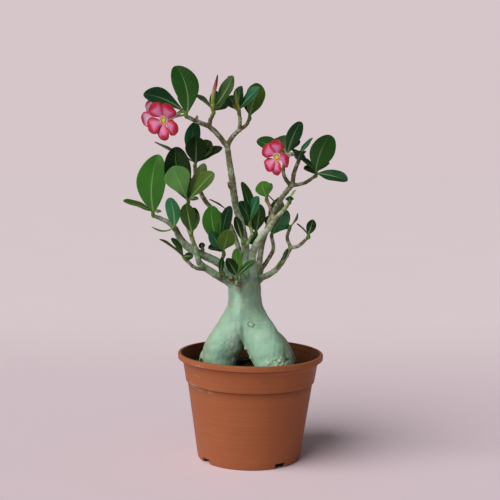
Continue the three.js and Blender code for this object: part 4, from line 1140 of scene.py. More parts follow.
def moulded_plastic(colour):
    """Terracotta-brown plastic with faint moulding rings, pale rubs on rim and ledge and in a
    few spots, painted shade in a dark line under the lip and along the ledge, and an inside
    darkened by soil stains and painted shade."""
    material, nodes, shader = new_finish("terracotta_plastic")
    place = nodes.place()
    height = nodes.split(place)["Z"]
    rings = nodes.noise(nodes.stretched(place, (2.0, 2.0, 620.0)), 1.0, 2.0, 0.5)
    base, broad, fine = mottled(nodes, colour, place, 26.0, 900.0, 0.3)
    base = nodes.mix(nodes.smooth(rings, 0.4, 0.75, 0.0, 0.22), base, tone("moulding_ring"))
    ledge = nodes.smooth(nodes.apart(height, WORN_LEDGE * MM), 0.0, 0.004, 0.25, 0.0)
    lip = nodes.smooth(height, WORN_LIP[0] * MM, WORN_LIP[1] * MM, 0.0, 0.3)
    worn = nodes.plus(nodes.plus(ledge, lip), 0.1)
    rub = scuffed(nodes, place, worn)
    chips = nodes.smooth(nodes.noise(nodes.stretched(place, (1, 1, 2)), 620.0, 2.0, 0.5), 0.5, 0.64)
    for spot, reach, strength in RUBBED_SPOTS:
        rubbed = nodes.times(chips, nodes.near(place, spot, reach, strength))
        rub = nodes.plus(rub, rubbed, clamp=True)
    base = nodes.mix(nodes.times(rub, 0.75), base, tone("rubbed_plastic"))
    # Painted shade: a dark line under the lip and one along the ledge.
    for line, depth in PAINTED_SHADE_LINES:
        dark = nodes.smooth(nodes.apart(height, line * MM), 0.0002, 0.0011, depth, 0.0)
        base = nodes.mix(dark, base, tone("painted_shade_line"))
    # The inside wall is darkened by soil stains and painted shade.
    over_band = nodes.minus(height, POT_BAND_TOP * MM)
    above = nodes.times(over_band, INSIDE_LEAN_ABOVE)
    below = nodes.times(over_band, INSIDE_LEAN_BELOW)
    inside = nodes.plus(nodes.math("MAXIMUM", above, below), INSIDE_RADIUS * MM)
    past_wall = nodes.minus(nodes.off_axis(place), inside)
    soiled_and_shaded = nodes.smooth(past_wall, 0.0003, 0.001, 0.86, 0.0)
    soiled_and_shaded = nodes.times(soiled_and_shaded, nodes.smooth(broad, 0.3, 0.6, 0.8, 1.0))
    base = nodes.mix(soiled_and_shaded, base, tone("soiled_and_shaded_plastic"))
    nodes.plug(shader["Base Color"], base)
    sheen = nodes.smooth(broad, 0.3, 0.8, 0.4, 0.54)
    nodes.plug(shader["Roughness"], nodes.plus(nodes.times(fine, 0.16), sheen))
    height_of = nodes.plus(nodes.times(rings, 0.8), nodes.times(fine, 0.2))
    nodes.plug(shader["Normal"], nodes.bump(height_of, 0.0002, 0.5))
    shader["Specular IOR Level"].default_value = 0.2
    shader["Specular Tint"].default_value = tone("plastic_gloss")
    return material


def potting_mix():
    """Dark crumbly mix: each lump has its own brown, with a fine uneven grain."""
    material, nodes, shader = new_finish("potting_mix")
    place = nodes.place()
    tint = nodes.tint()
    base, broad, fine = mottled(nodes, tint, place, 160.0, 1400.0, 1.3)
    nodes.plug(shader["Base Color"], base)
    nodes.plug(shader["Roughness"], nodes.smooth(broad, 0.3, 0.7, 0.97, 0.8))
    grain = nodes.plus(nodes.times(fine, 0.5), broad)
    nodes.plug(shader["Normal"], nodes.bump(grain, 0.0012, 0.9))
    shader["Specular IOR Level"].default_value = 0.25
    return material


def smooth_bark():
    """Bark over caudex and branches: each point's own tint, cloudy mottling, upright streaks
    on the thick parts; pale patches, brown ring lines and pale leaf scars on the thin ones."""
    material, nodes, shader = new_finish("smooth_bark")
    place = nodes.place()
    tint = nodes.tint()
    along, swollen, scar = nodes.marks("where")
    base, broad, fine = mottled(nodes, tint, place, 75.0, 650.0, 0.6)
    slim = nodes.minus(1.0, swollen)
    streak = nodes.noise(nodes.stretched(place, (260.0, 260.0, 26.0)), 1.0, 4.0, 0.65)
    faint = nodes.times(swollen, 0.4)
    streaks = nodes.times(nodes.smooth(streak, 0.54, 0.8), faint)
    base = nodes.mix(streaks, base, tone("bark_streak"))
    blush = nodes.times(nodes.smooth(broad, 0.48, 0.66), faint)
    base = nodes.mix(blush, base, tone("bark_blush"))
    pores = nodes.noise(place, 420.0, 2.0, 0.5)
    base = nodes.mix(nodes.smooth(pores, 0.62, 0.74, 0.0, 0.4), base, tone("bark_pore"))
    patches = nodes.noise(place, 130.0, 3.0, 0.65)
    pale = nodes.times(nodes.smooth(patches, 0.5, 0.58), nodes.times(slim, 0.75))
    base = nodes.mix(pale, base, nodes.mix(0.7, base, tone("pale_bark")))
    brown = nodes.times(nodes.smooth(patches, 0.46, 0.36), nodes.times(slim, 0.7))
    base = nodes.mix(brown, base, nodes.mix(0.6, base, tone("brown_bark")))
    ring = nodes.lines(nodes.plus(along, nodes.times(broad, 7.0)), 5.4, 0.3, 0.47)
    ring = nodes.times(nodes.times(ring, slim), nodes.smooth(patches, 0.54, 0.42, 0.1, 1.0))
    base = nodes.mix(nodes.times(ring, 0.32), base, tone("ring_line"))
    base = nodes.mix(nodes.times(scar, 0.5), base, tone("leaf_scar"))
    nodes.plug(shader["Base Color"], base)
    nodes.plug(shader["Roughness"], nodes.smooth(broad, 0.25, 0.75, 0.42, 0.6))
    relief = nodes.plus(nodes.times(streak, 0.5), nodes.times(fine, 0.35))
    relief = nodes.minus(relief, nodes.times(ring, 0.35))
    nodes.plug(shader["Normal"], nodes.bump(relief, 0.0005, 0.8))
    shader["Specular IOR Level"].default_value = 0.4
    return material


def leathery_leaf():
    """Leaf skin: its own green, mottled, lighter at the foot with a painted sheen, darker at the
    end, and darker on one half with painted shade of the folded blade; a pale midrib that
    narrows to the tip, fine side veins that leave it forwards, a light margin, and a paler,
    duller underside."""
    material, nodes, shader = new_finish("leathery_leaf")
    place = nodes.place()
    share, off_rib, along = nodes.marks("where")
    under, t, _ = nodes.marks("kind")
    base = nodes.tint()
    # Painted sheen, lighter towards the foot.
    foot = nodes.times(nodes.smooth(t, 0.0, 0.75, 1.0, 0.0), 0.4)
    base = nodes.mix(foot, base, nodes.mix(0.5, base, tone("painted_foot_sheen")))
    end = nodes.smooth(t, 0.55, 1.0, 0.0, 0.3)
    base = nodes.mix(end, base, nodes.mix(0.7, base, tone("leaf_end")))
    # Painted shade on one half of the folded blade.
    half = nodes.smooth(share, -0.1, 0.12, 0.0, 0.36)
    base = nodes.mix(half, base, nodes.mix(0.8, base, tone("shaded_half")))
    base, broad, fine = mottled(nodes, base, place, 60.0, 700.0, 0.9)
    rib_width = nodes.minus(1.7, nodes.times(t, 1.4))
    rib = nodes.smooth(nodes.math("DIVIDE", off_rib, rib_width), 0.3, 1.0, 1.0, 0.0)
    rib = nodes.times(rib, nodes.smooth(t, 0.5, 0.95, 1.0, 0.35))
    run = nodes.minus(along, nodes.times(off_rib, 0.8))
    vein = nodes.lines(nodes.plus(run, nodes.times(broad, 2.2)), 5.2, 0.40, 0.49)
    vein = nodes.times(vein, nodes.smooth(nodes.math("ABSOLUTE", share), 0.5, 0.95, 1.0, 0.15))
    base = nodes.mix(nodes.times(vein, 0.06), base, tone("leaf_vein"))
    below = nodes.smooth(under, 0.3, 0.7)
    base = nodes.mix(below, base, nodes.mix(0.6, base, tone("leaf_underside")))
    base = nodes.mix(nodes.times(rib, 0.65), base, nodes.mix(0.7, base, tone("leaf_rib")))
    margin = nodes.smooth(nodes.math("ABSOLUTE", share), 0.94, 1.0, 0.0, 0.35)
    base = nodes.mix(margin, base, nodes.mix(0.5, base, tone("leaf_margin")))
    nodes.plug(shader["Base Color"], base)
    gloss = nodes.smooth(fine, 0.25, 0.75, 0.32, 0.44)
    nodes.plug(shader["Roughness"], nodes.plus(gloss, nodes.times(under, 0.24)))
    relief = nodes.plus(nodes.times(vein, -0.2), nodes.times(fine, 0.25))
    relief = nodes.plus(relief, nodes.times(broad, 0.5))
    nodes.plug(shader["Normal"], nodes.bump(relief, 0.0005, 0.8))
    shader["Specular IOR Level"].default_value = 0.26
    shader["Specular Tint"].default_value = tone("leaf_gloss")
    return material


def ramp_of(nodes, value, stops):
    """Colour that runs through the given (place, 8-bit sRGB) stops as value goes up."""
    ramp = nodes.add("ShaderNodeValToRGB", {"Fac": value})
    elements = ramp.color_ramp.elements
    for element, (position, colour) in zip(elements, (stops[0], stops[-1])):
        element.position = position
        element.color = rgba(colour)
    for position, colour in stops[1:-1]:
        elements.new(position).color = rgba(colour)
    return ramp.outputs["Color"]


def pink_petal():
    """Petal skin: a lilac-pink middle inside a broad crimson margin, fine crimson lines out of
    a yellow-olive throat lightened against the shade in the tube, a paler underside, a faint
    painted glow for light let through, and a stronger painted glow in the throat."""
    material, nodes, shader = new_finish("pink_petal")
    place = nodes.place()
    share, _, along = nodes.marks("where")
    under, t, paler = nodes.marks("kind")
    broad = nodes.noise(place, 240.0, 3.0, 0.6)
    side = nodes.math("POWER", nodes.math("ABSOLUTE", share), 1.8)
    side = nodes.times(side, nodes.smooth(t, 0.0, 0.35, 0.55, 1.0))
    edge = nodes.math("MAXIMUM", side, nodes.smooth(t, 0.5, 0.97))
    edge = nodes.plus(edge, nodes.times(nodes.minus(broad, 0.5), 0.5))
    face = ramp_of(nodes, edge, PETAL_FACE)
    back = ramp_of(nodes, edge, PETAL_BACK)
    line = nodes.lines(share, 1 / 3.5, 0.36, 0.5)
    line = nodes.times(line, nodes.smooth(t, 0.1, 0.45, 0.4, 0.0))
    face = nodes.mix(line, face, tone("petal_line"))
    face = nodes.mix(nodes.smooth(t, 0.0, 0.1, 0.85, 0.0), face, tone("petal_root"))
    base = nodes.mix(nodes.math("MAXIMUM", under, nodes.times(paler, 0.35)), face, back)
    # The throat's yellow is painted lighter to lift the shade inside the tube.
    throat = nodes.smooth(along, -0.7, -0.3, 1.0, 0.0)
    yellow = nodes.mix(broad, tone("throat_yellow"), tone("throat_olive"))
    base = nodes.mix(throat, base, yellow)
    nodes.plug(shader["Base Color"], base)
    # Painted glow: faint over the whole petal, stronger on a paler flower for light let through and
    # in the throat to lift its shade.
    glow = nodes.math("MAXIMUM", nodes.times(paler, 0.8), nodes.times(throat, 0.7))
    nodes.plug(shader["Emission Color"], nodes.mix(glow, tone("petal_glow"), base))
    shader["Emission Strength"].default_value = 0.3
    nodes.plug(shader["Roughness"], nodes.smooth(broad, 0.3, 0.7, 0.48, 0.62))
    nodes.plug(shader["Normal"], nodes.bump(nodes.minus(broad, line), 0.0004, 0.5))
    shader["Sheen Weight"].default_value = 0.15
    shader["Specular IOR Level"].default_value = 0.25
    return material


def furled_petals():
    """Furled bud: yellow-green foot, dull pink middle and dark crimson top, with crimson
    along the twisted margins."""
    material, nodes, shader = new_finish("furled_petals")
    place = nodes.place()
    fold, t, _ = nodes.marks("where")
    broad = nodes.noise(place, 300.0, 3.0, 0.6)
    run = nodes.plus(t, nodes.times(nodes.minus(broad, 0.5), 0.12))
    base = ramp_of(nodes, run, BUD_RUN)
    dark = nodes.times(nodes.smooth(fold, 0.7, 1.0), nodes.smooth(t, 0.25, 0.65, 0.08, 0.75))
    base = nodes.mix(dark, base, tone("bud_fold"))
    nodes.plug(shader["Base Color"], base)
    nodes.plug(shader["Roughness"], nodes.smooth(broad, 0.3, 0.7, 0.45, 0.6))
    nodes.plug(shader["Normal"], nodes.bump(broad, 0.0003, 0.5))
    shader["Specular IOR Level"].default_value = 0.35
    return material


def plain_floor(colour):
    """Pale paper floor with a faint grain, and painted shade a little deeper towards the viewer."""
    material, nodes, shader = new_finish("pale_floor")
    place = nodes.place()
    base, broad, fine = mottled(nodes, colour, place, 3.0, 60.0, 0.05)
    # Painted shade, deepening the floor towards the viewer.
    near = nodes.smooth(nodes.split(place)["Y"], FLOOR_FAR, FLOOR_NEAR)
    base = nodes.mix(near, base, tone("painted_floor_shade"))
    nodes.plug(shader["Base Color"], base)
    nodes.plug(shader["Roughness"], nodes.smooth(broad, 0.2, 0.8, 0.85, 0.95))
    shader["Specular IOR Level"].default_value = 0.1
    return material


# ------------------------------------------------------------------ settings


class DesertRosePot(bpy.types.PropertyGroup):
    rim_radius: bpy.props.FloatProperty(
        name="Rim radius", description="Outer radius of the rolled rim",
        default=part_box("pot")[1].x, min=0.02, unit="LENGTH")
    rim_top: bpy.props.FloatProperty(
        name="Height", description="Height of the rim over the surface the pot stands on",
        default=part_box("pot")[1].z, min=0.02, unit="LENGTH")
    lip_height: bpy.props.FloatProperty(
        name="Lip height", description="Height of the upright face of the rim",
        default=0.0065, min=0.001, unit="LENGTH")
    wall: bpy.props.FloatProperty(
        name="Wall", description="Thickness of the moulded wall",
        default=0.0022, min=0.0005, unit="LENGTH")
    plastic: bpy.props.FloatVectorProperty(
        name="Plastic", description="Colour of the moulded plastic",
        subtype="COLOR", size=4, min=0, max=1, default=tone("terracotta"))


class DesertRosePlant(bpy.types.PropertyGroup):
    bark_cell: bpy.props.FloatProperty(
        name="Bark cell", description="Size of the faces of the bark's skin",
        default=0.00096, min=0.0005, unit="LENGTH")
    bark_relief: bpy.props.FloatProperty(
        name="Bark relief", description="Height of the leaf scars on the branches",
        default=0.0005, min=0, unit="LENGTH")
    rib: bpy.props.FloatProperty(
        name="Leaf midrib", description="Thickness of a leaf along its midrib",
        default=0.0014, min=0.0005, unit="LENGTH")
    margin: bpy.props.FloatProperty(
        name="Leaf margin", description="Thickness of a leaf along its margin",
        default=0.0005, min=0.0002, unit="LENGTH")
    leaf_wave: bpy.props.FloatProperty(
        name="Leaf wave", description="Height of the ripples along a leaf's margin",
        default=0.0007, min=0, unit="LENGTH")
    petal_wave: bpy.props.FloatProperty(
        name="Petal wave", description="Height of the ripples along a petal's margin",
        default=0.0009, min=0, unit="LENGTH")
    crumbs: bpy.props.IntProperty(
        name="Crumbs", description="Number of loose crumbs and bark chips on the soil",
        default=2200, min=0)


class DesertRoseStage(bpy.types.PropertyGroup):
    floor: bpy.props.FloatVectorProperty(
        name="Floor", description="Colour of the floor",
        subtype="COLOR", size=4, min=0, max=1, default=tone("floor"))
    sky: bpy.props.FloatVectorProperty(
        name="Surroundings", description="Colour of the pale room round the plant",
        subtype="COLOR", size=4, min=0, max=1, default=tone("room"))
    key: bpy.props.FloatProperty(
        name="Key light", description="Strength of the soft light from the left",
        default=3.05, min=0)
    fill: bpy.props.FloatProperty(
        name="Fill light", description="Strength of the light from all round",
        default=0.14, min=0)
    lens: bpy.props.FloatProperty(
        name="Lens", description="Focal length of the camera, in millimetres",
        default=68.33, min=20, subtype="DISTANCE_CAMERA")


# ------------------------------------------------------------------ making the pieces


def band_inside(height, wall):
    """Point (radius, height) on the inside of the pot's band."""
    foot = POT_LEDGE_HEIGHT + POT_LEDGE_STEP
    foot_radius = POT_BODY_RADIUS + POT_LEDGE_STEP
    share = (height - foot) / (POT_BAND_TOP - foot)
    return foot_radius + (POT_BAND_RADIUS - foot_radius) * share - wall, height


def body_inside(wall, inset):
    """Inner line of the pot from its floor up to the foot of its band, moved in by inset."""
    inner = wall + inset
    return [
        (POT_BASE_RADIUS - wall - inner, POT_FLOOR + inset),
        (POT_BASE_RADIUS - inner, 2 * POT_FLOOR),
        (POT_BODY_RADIUS - inner, POT_LEDGE_HEIGHT),
        band_inside(POT_LEDGE_HEIGHT + POT_LEDGE_STEP, inner),
    ]


def rounded(radius, height, points):
    """Profile points given by how far out and up they lie from (radius, height)."""
    return [(radius + out, height + up) for out, up in points]


def finely(profile, step):
    """The same profile with further points along its straight runs, step apart."""
    profile = np.array(profile, float)
    runs = []
    for start, end in zip(profile[:-1], profile[1:]):
        count = max(1, int(np.linalg.norm(end - start) / step))
        runs.append(start + (end - start) * (np.arange(count) / count)[:, None])
    return np.vstack(runs + [profile[-1:]])


class DESERTROSE_OT_pot(bpy.types.Operator):
    """Pot: a closed profile turned round the upright axis, from the foot up the outside,
    over the rolled lip and down inside, with drainage notches cut out of its foot."""

    bl_idname = "desert_rose.add_pot"
    bl_label = "Pot"

    def execute(self, context):
        sizes = context.scene.desert_rose_pot
        rim, top = sizes.rim_radius / MM, sizes.rim_top / MM
        lip, wall = sizes.lip_height / MM, sizes.wall / MM
        profile = [(NEAR_AXIS, FOOT_ROUNDING[0][1])]
        profile += rounded(POT_BASE_RADIUS, 0, FOOT_ROUNDING)
        profile += rounded(POT_BODY_RADIUS, POT_LEDGE_HEIGHT, LEDGE_ROUNDING)
        profile += rounded(POT_BAND_RADIUS, POT_BAND_TOP, SHOULDER_ROUNDING)
        profile += rounded(rim, top - lip, LIP_ROUNDING)
        profile += [
            (rim + LIP_ROLL * (math.cos(a) - 1), top + LIP_ROLL * (math.sin(a) - 1))
            for a in np.linspace(0, math.pi / 2, 7)
        ]
        profile += rounded(rim - 2 * wall, top, INNER_LIP_ROUNDING)
        profile += [band_inside(POT_BAND_TOP, wall)] + body_inside(wall, 0)[::-1]
        profile += [(NEAR_AXIS, POT_FLOOR)]
        turned = lathe(finely(profile, POT_STEP), POT_SIDES)
        shell = new_object("pot_moulded", mesh_of("pot_moulded", turned))
        turn = math.radians(DRAIN_TURN) + 2 * math.pi * np.arange(DRAIN_COUNT) / DRAIN_COUNT
        reach, side = DRAIN_REACH, DRAIN_WIDTH / 2
        corners = np.array([(-reach, -side), (reach, -side), (reach, side), (-reach, side)], float)
        corners[:, 0] += POT_BASE_RADIUS
        notches = []
        for angle in turn:
            cos, sin = math.cos(angle), math.sin(angle)
            flat = corners @ np.array([[cos, sin], [-sin, cos]])
            rings = np.stack([
                np.concatenate([flat, np.full((4, 1), height)], 1)
                for height in (-DRAIN_HEIGHT, DRAIN_HEIGHT)
            ])
            notches.append(skin(rings))
        cutter = new_object("notches", mesh_of("notches", joined(notches)))
        cut = shell.modifiers.new("drainage", "BOOLEAN")
        cut.object = cutter
        cut.operation = "DIFFERENCE"
        cut.solver = "EXACT"
        finished(shell)
        bpy.data.objects.remove(cutter)
        shell.data.shade_smooth()
        shell.data.set_sharp_from_angle(angle=math.radians(SMOOTH_UP_TO))
        settle(shell, moulded_plastic(tuple(sizes.plastic)), ["pot"])
        return {"FINISHED"}


def lumps(centres, sizes, turns, dice):
    """Loose lumps: an icosahedron for each centre, stretched by three sizes, with every
    corner at 0.75 to 1.15 of its distance from the centre, and turned by three angles."""
    golden = (1 + math.sqrt(5)) / 2
    corners = np.array(
        [(-1, golden, 0), (1, golden, 0), (-1, -golden, 0), (1, -golden, 0),
         (0, -1, golden), (0, 1, golden), (0, -1, -golden), (0, 1, -golden),
         (golden, 0, -1), (golden, 0, 1), (-golden, 0, -1), (-golden, 0, 1)], float)
    faces = np.array(
        [(0, 11, 5), (0, 5, 1), (0, 1, 7), (0, 7, 10), (0, 10, 11), (1, 5, 9), (5, 11, 4),
         (11, 10, 2), (10, 7, 6), (7, 1, 8), (3, 9, 4), (3, 4, 2), (3, 2, 6), (3, 6, 8),
         (3, 8, 9), (4, 9, 5), (2, 4, 11), (6, 2, 10), (8, 6, 7), (9, 8, 1)])
    count = len(centres)
    shapes = unit(corners)[None] * dice.uniform(0.75, 1.15, (count, 12, 1)) * sizes[:, None]
    a, b, c = turns.T
    zero, one = np.zeros(count), np.ones(count)
    cos, sin = np.cos, np.sin
    about_z = np.stack([cos(a), -sin(a), zero, sin(a), cos(a), zero, zero, zero, one], -1)
    about_x = np.stack([one, zero, zero, zero, cos(b), -sin(b), zero, sin(b), cos(b)], -1)
    about_y = np.stack([cos(c), zero, sin(c), zero, one, zero, -sin(c), zero, cos(c)], -1)
    spin = about_z.reshape(-1, 3, 3) @ about_x.reshape(-1, 3, 3) @ about_y.reshape(-1, 3, 3)
    points = centres[:, None] + np.einsum("nij,nkj->nki", spin, shapes)
    tris = faces[None] + 12 * np.arange(count)[:, None, None]
    return points.reshape(-1, 3), tris.reshape(-1, 3)


def soil_height(x, y):
    """Top of the soil: a shallow dish, lowest in the middle by the sag, that rises to the wall
    as 1 minus the cosine of a quarter turn, with soft hummocks."""
    radius = np.hypot(x, y)
    dish = SOIL_TOP - SOIL_SAG * np.cos(np.clip(radius / POT_BAND_RADIUS, 0, 1) * math.pi / 2)
    flat = np.stack([x, y, 0 * x], -1)
    return dish + HUMMOCK_HEIGHT * ripple(flat, HUMMOCK_SIZE, SEED, 4)


class DESERTROSE_OT_soil(bpy.types.Operator):
    """Soil: a heap turned from the pot's inner line, its top a polar grid raised by summed
    sines, strewn with small lumps, flat bark chips and low moss."""

    bl_idname = "desert_rose.add_soil"
    bl_label = "Soil"

    def execute(self, context):
        dice = np.random.default_rng(SEED)
        wall = context.scene.desert_rose_pot.wall / MM
        inner = body_inside(wall, SEAT_GAP)
        edge = band_inside(SOIL_TOP, wall + SEAT_GAP)[0]
        brink = edge - SOIL_ROUNDING
        profile = [(NEAR_AXIS, POT_FLOOR + SEAT_GAP)] + inner
        profile += [band_inside(SOIL_TOP - SOIL_SHOULDER, wall + SEAT_GAP)]
        profile += [(r, SOIL_TOP) for r in np.linspace(brink, NEAR_AXIS, SOIL_RINGS)]
        heap = lathe(profile, SOIL_SIDES)
        x, y, z = heap["points"].T
        risen = z > SOIL_TOP - 0.5
        heap["points"][risen, 2] = soil_height(x[risen], y[risen])
        dirt, bark, grit, stone, moss = (linear(colour) for colour in SOIL_TINTS.values())
        patch = np.clip(0.5 + 0.5 * ripple(heap["points"], 9, SEED + 1), 0, 1)[:, None]
        heap["marks"] = {"tint": dirt * (0.6 + 0.7 * patch)}
        count = context.scene.desert_rose_plant.crumbs
        radius = (edge - CRUMB_MARGIN) * np.sqrt(dice.uniform(0, 1, count))
        angle = dice.uniform(0, 2 * math.pi, count)
        x, y = radius * np.cos(angle), radius * np.sin(angle)
        chip = dice.uniform(0, 1, count) < CHIP_SHARE
        size = dice.gamma(3, 0.34, (count, 1)) + 0.35
        shape = np.where(chip[:, None], CHIP_SHAPE, CRUMB_SHAPE) * size
        turns = dice.uniform(0, 2 * math.pi, (count, 3))
        turns[chip, 1:] = dice.normal(0, 0.3, (chip.sum(), 2))
        centres = np.stack([x, y, soil_height(x, y) + 0.25 * shape[:, 2]], -1)
        points, tris = lumps(centres, shape, turns, dice)
        far = np.hypot(points[:, 0], points[:, 1])
        points[:, :2] *= np.minimum(1, brink / far)[:, None]
        points[:, 2] = np.minimum(points[:, 2], SOIL_TOP + CRUMB_LIMIT)
        kind = dice.uniform(0, 1, count)
        colour = np.where(chip[:, None], bark, dirt) * dice.uniform(0.5, 1.5, (count, 1))
        colour = np.where(kind[:, None] > GRIT_FROM, grit, colour)
        colour = np.where((kind[:, None] < STONE_SHARE) & ~chip[:, None], stone, colour)
        tufts = np.vstack([
            np.array(spot) + dice.normal(0, 1, (MOSS_COUNT, 3)) * reach
            for spot, reach in MOSS_TUFTS
        ])
        tufts[:, 2] = np.minimum(np.abs(tufts[:, 2]), MOSS_TOP)
        tufts[:, 2] += soil_height(tufts[:, 0], tufts[:, 1])
        green = moss * dice.uniform(0.5, 1.4, (len(tufts), 1))
        leafy = dice.uniform(0.4, 1.1, (len(tufts), 3)) * (1, 1, 1.8)
        mossy, mossy_tris = lumps(tufts, leafy, dice.normal(0, 0.5, (len(tufts), 3)), dice)
        tris = np.vstack([tris, mossy_tris + len(points)])
        points = np.vstack([points, mossy])
        colour = np.vstack([colour, green])
        strewn = {"points": points, "quads": np.zeros((0, 4), int), "tris": tris,
                  "marks": {"tint": np.repeat(colour, 12, 0)}}
        soil = new_object("soil_heap", mesh_of("soil_heap", joined([heap, strewn])))
        settle(soil, potting_mix(), ["soil"])
        return {"FINISHED"}


def stem_samples():
    """Points about a millimetre apart along every stem, with the direction, a side, the
    radius, the length run, whether the stem is swollen, and its tint there."""
    rows = []
    plan = [("mint", "mint", stations, 1) for stations in LEGS]
    plan += [("mint", "olive", stations, 0.6) for stations in ROOTS]
    plan += [(first, last, stations, 0) for first, last, stations in BRANCHES]
    for number, (first, last, stations, swollen) in enumerate(plan):
        points, along, radii = curve_through(stations, STEM_STEPS)
        run = np.concatenate([[0], np.cumsum(np.linalg.norm(np.diff(points, axis=0), axis=1))])
        share = (run / run[-1])[:, None]
        tint = linear(WOOD_TINTS[first]) * (1 - share) + linear(WOOD_TINTS[last]) * share
        side = square_to((0.1, 1, 0), along)
        ones = np.ones((len(points), 1))
        rows.append(np.hstack([
            points, along, side, radii[:, None], run[:, None], swollen * ones, tint, number * ones
        ]))
    return np.vstack(rows)


def smoothed(points, edges, rounds):
    """Points eased towards the mean of their neighbours by half the way, then pushed back
    by a little more than half, so that bumps go and girth stays."""
    count = np.bincount(edges.ravel(), minlength=len(points))[:, None]
    for turn in range(2 * rounds):
        total = np.zeros_like(points)
        for axis in range(3):
            total[:, axis] = np.bincount(
                edges.ravel(), points[edges[:, ::-1].ravel(), axis], minlength=len(points)
            )
        points = points + (total / count - points) * (EASE_OUT if turn % 2 else EASE_IN)
    return points


def dressed_bark(points, samples):
    """For each point of the skin: its tint, mixed from the nearest stems by how close they
    are; the length run along the nearest; how swollen it is there; and the leaf scars, bumps
    at every scar step that turn round the stem by the golden angle from one to the next.
    Returns the tints, and the run, the swelling and the scars."""
    tint, where = [], []
    centres, radii = samples[:, :3], samples[:, 9]
    for some in np.array_split(points, max(1, len(points) // POINTS_AT_ONCE)):
        apart = (some**2).sum(1)[:, None] + (centres**2).sum(1)[None] - 2 * some @ centres.T
        gap = np.sqrt(np.maximum(apart, 0)) - radii[None]
        nearest = gap.argmin(1)
        weight = np.exp(-(gap - gap.min(1)[:, None]) / TINT_BLEND)
        weight /= weight.sum(1, keepdims=True)
        near = samples[nearest]
        off = some - near[:, :3]
        along, side = near[:, 3:6], near[:, 6:9]
        angle = np.arctan2((off * np.cross(along, side)).sum(1), (off * side).sum(1))
        run = near[:, 10] + (off * along).sum(1)
        swollen = weight @ samples[:, 11]
        radius = near[:, 9]
        number = np.round(run / SCAR_STEP)
        turn = number * SCAR_TURN + near[:, 15]
        round_it = (angle - turn + math.pi) % (2 * math.pi) - math.pi
        along_it = (run - number * SCAR_STEP) / SCAR_LENGTH
        scar = np.exp(-(along_it**2) - (round_it * radius / SCAR_WIDTH) ** 2)
        scar = scar * (1 - swollen) * (run > SCAR_START) * (radius < SCAR_RADIUS)
        tint.append(weight @ samples[:, 12:15])
        where.append(np.stack([run, swollen, scar], -1))
    return np.vstack(tint), np.vstack(where)


def how_far(points, x, z, wide, high):
    """How far each point lies from (x, z), seen from the front, in half widths and heights."""
    return np.hypot((points[:, 0] - x) / wide, (points[:, 2] - z) / high)


def laid_on(tint, share, colour):
    """Tints mixed towards an 8-bit sRGB colour by a share for each point."""
    share = np.clip(share, 0, 1)[:, None]
    return tint * (1 - share) + linear(colour) * share


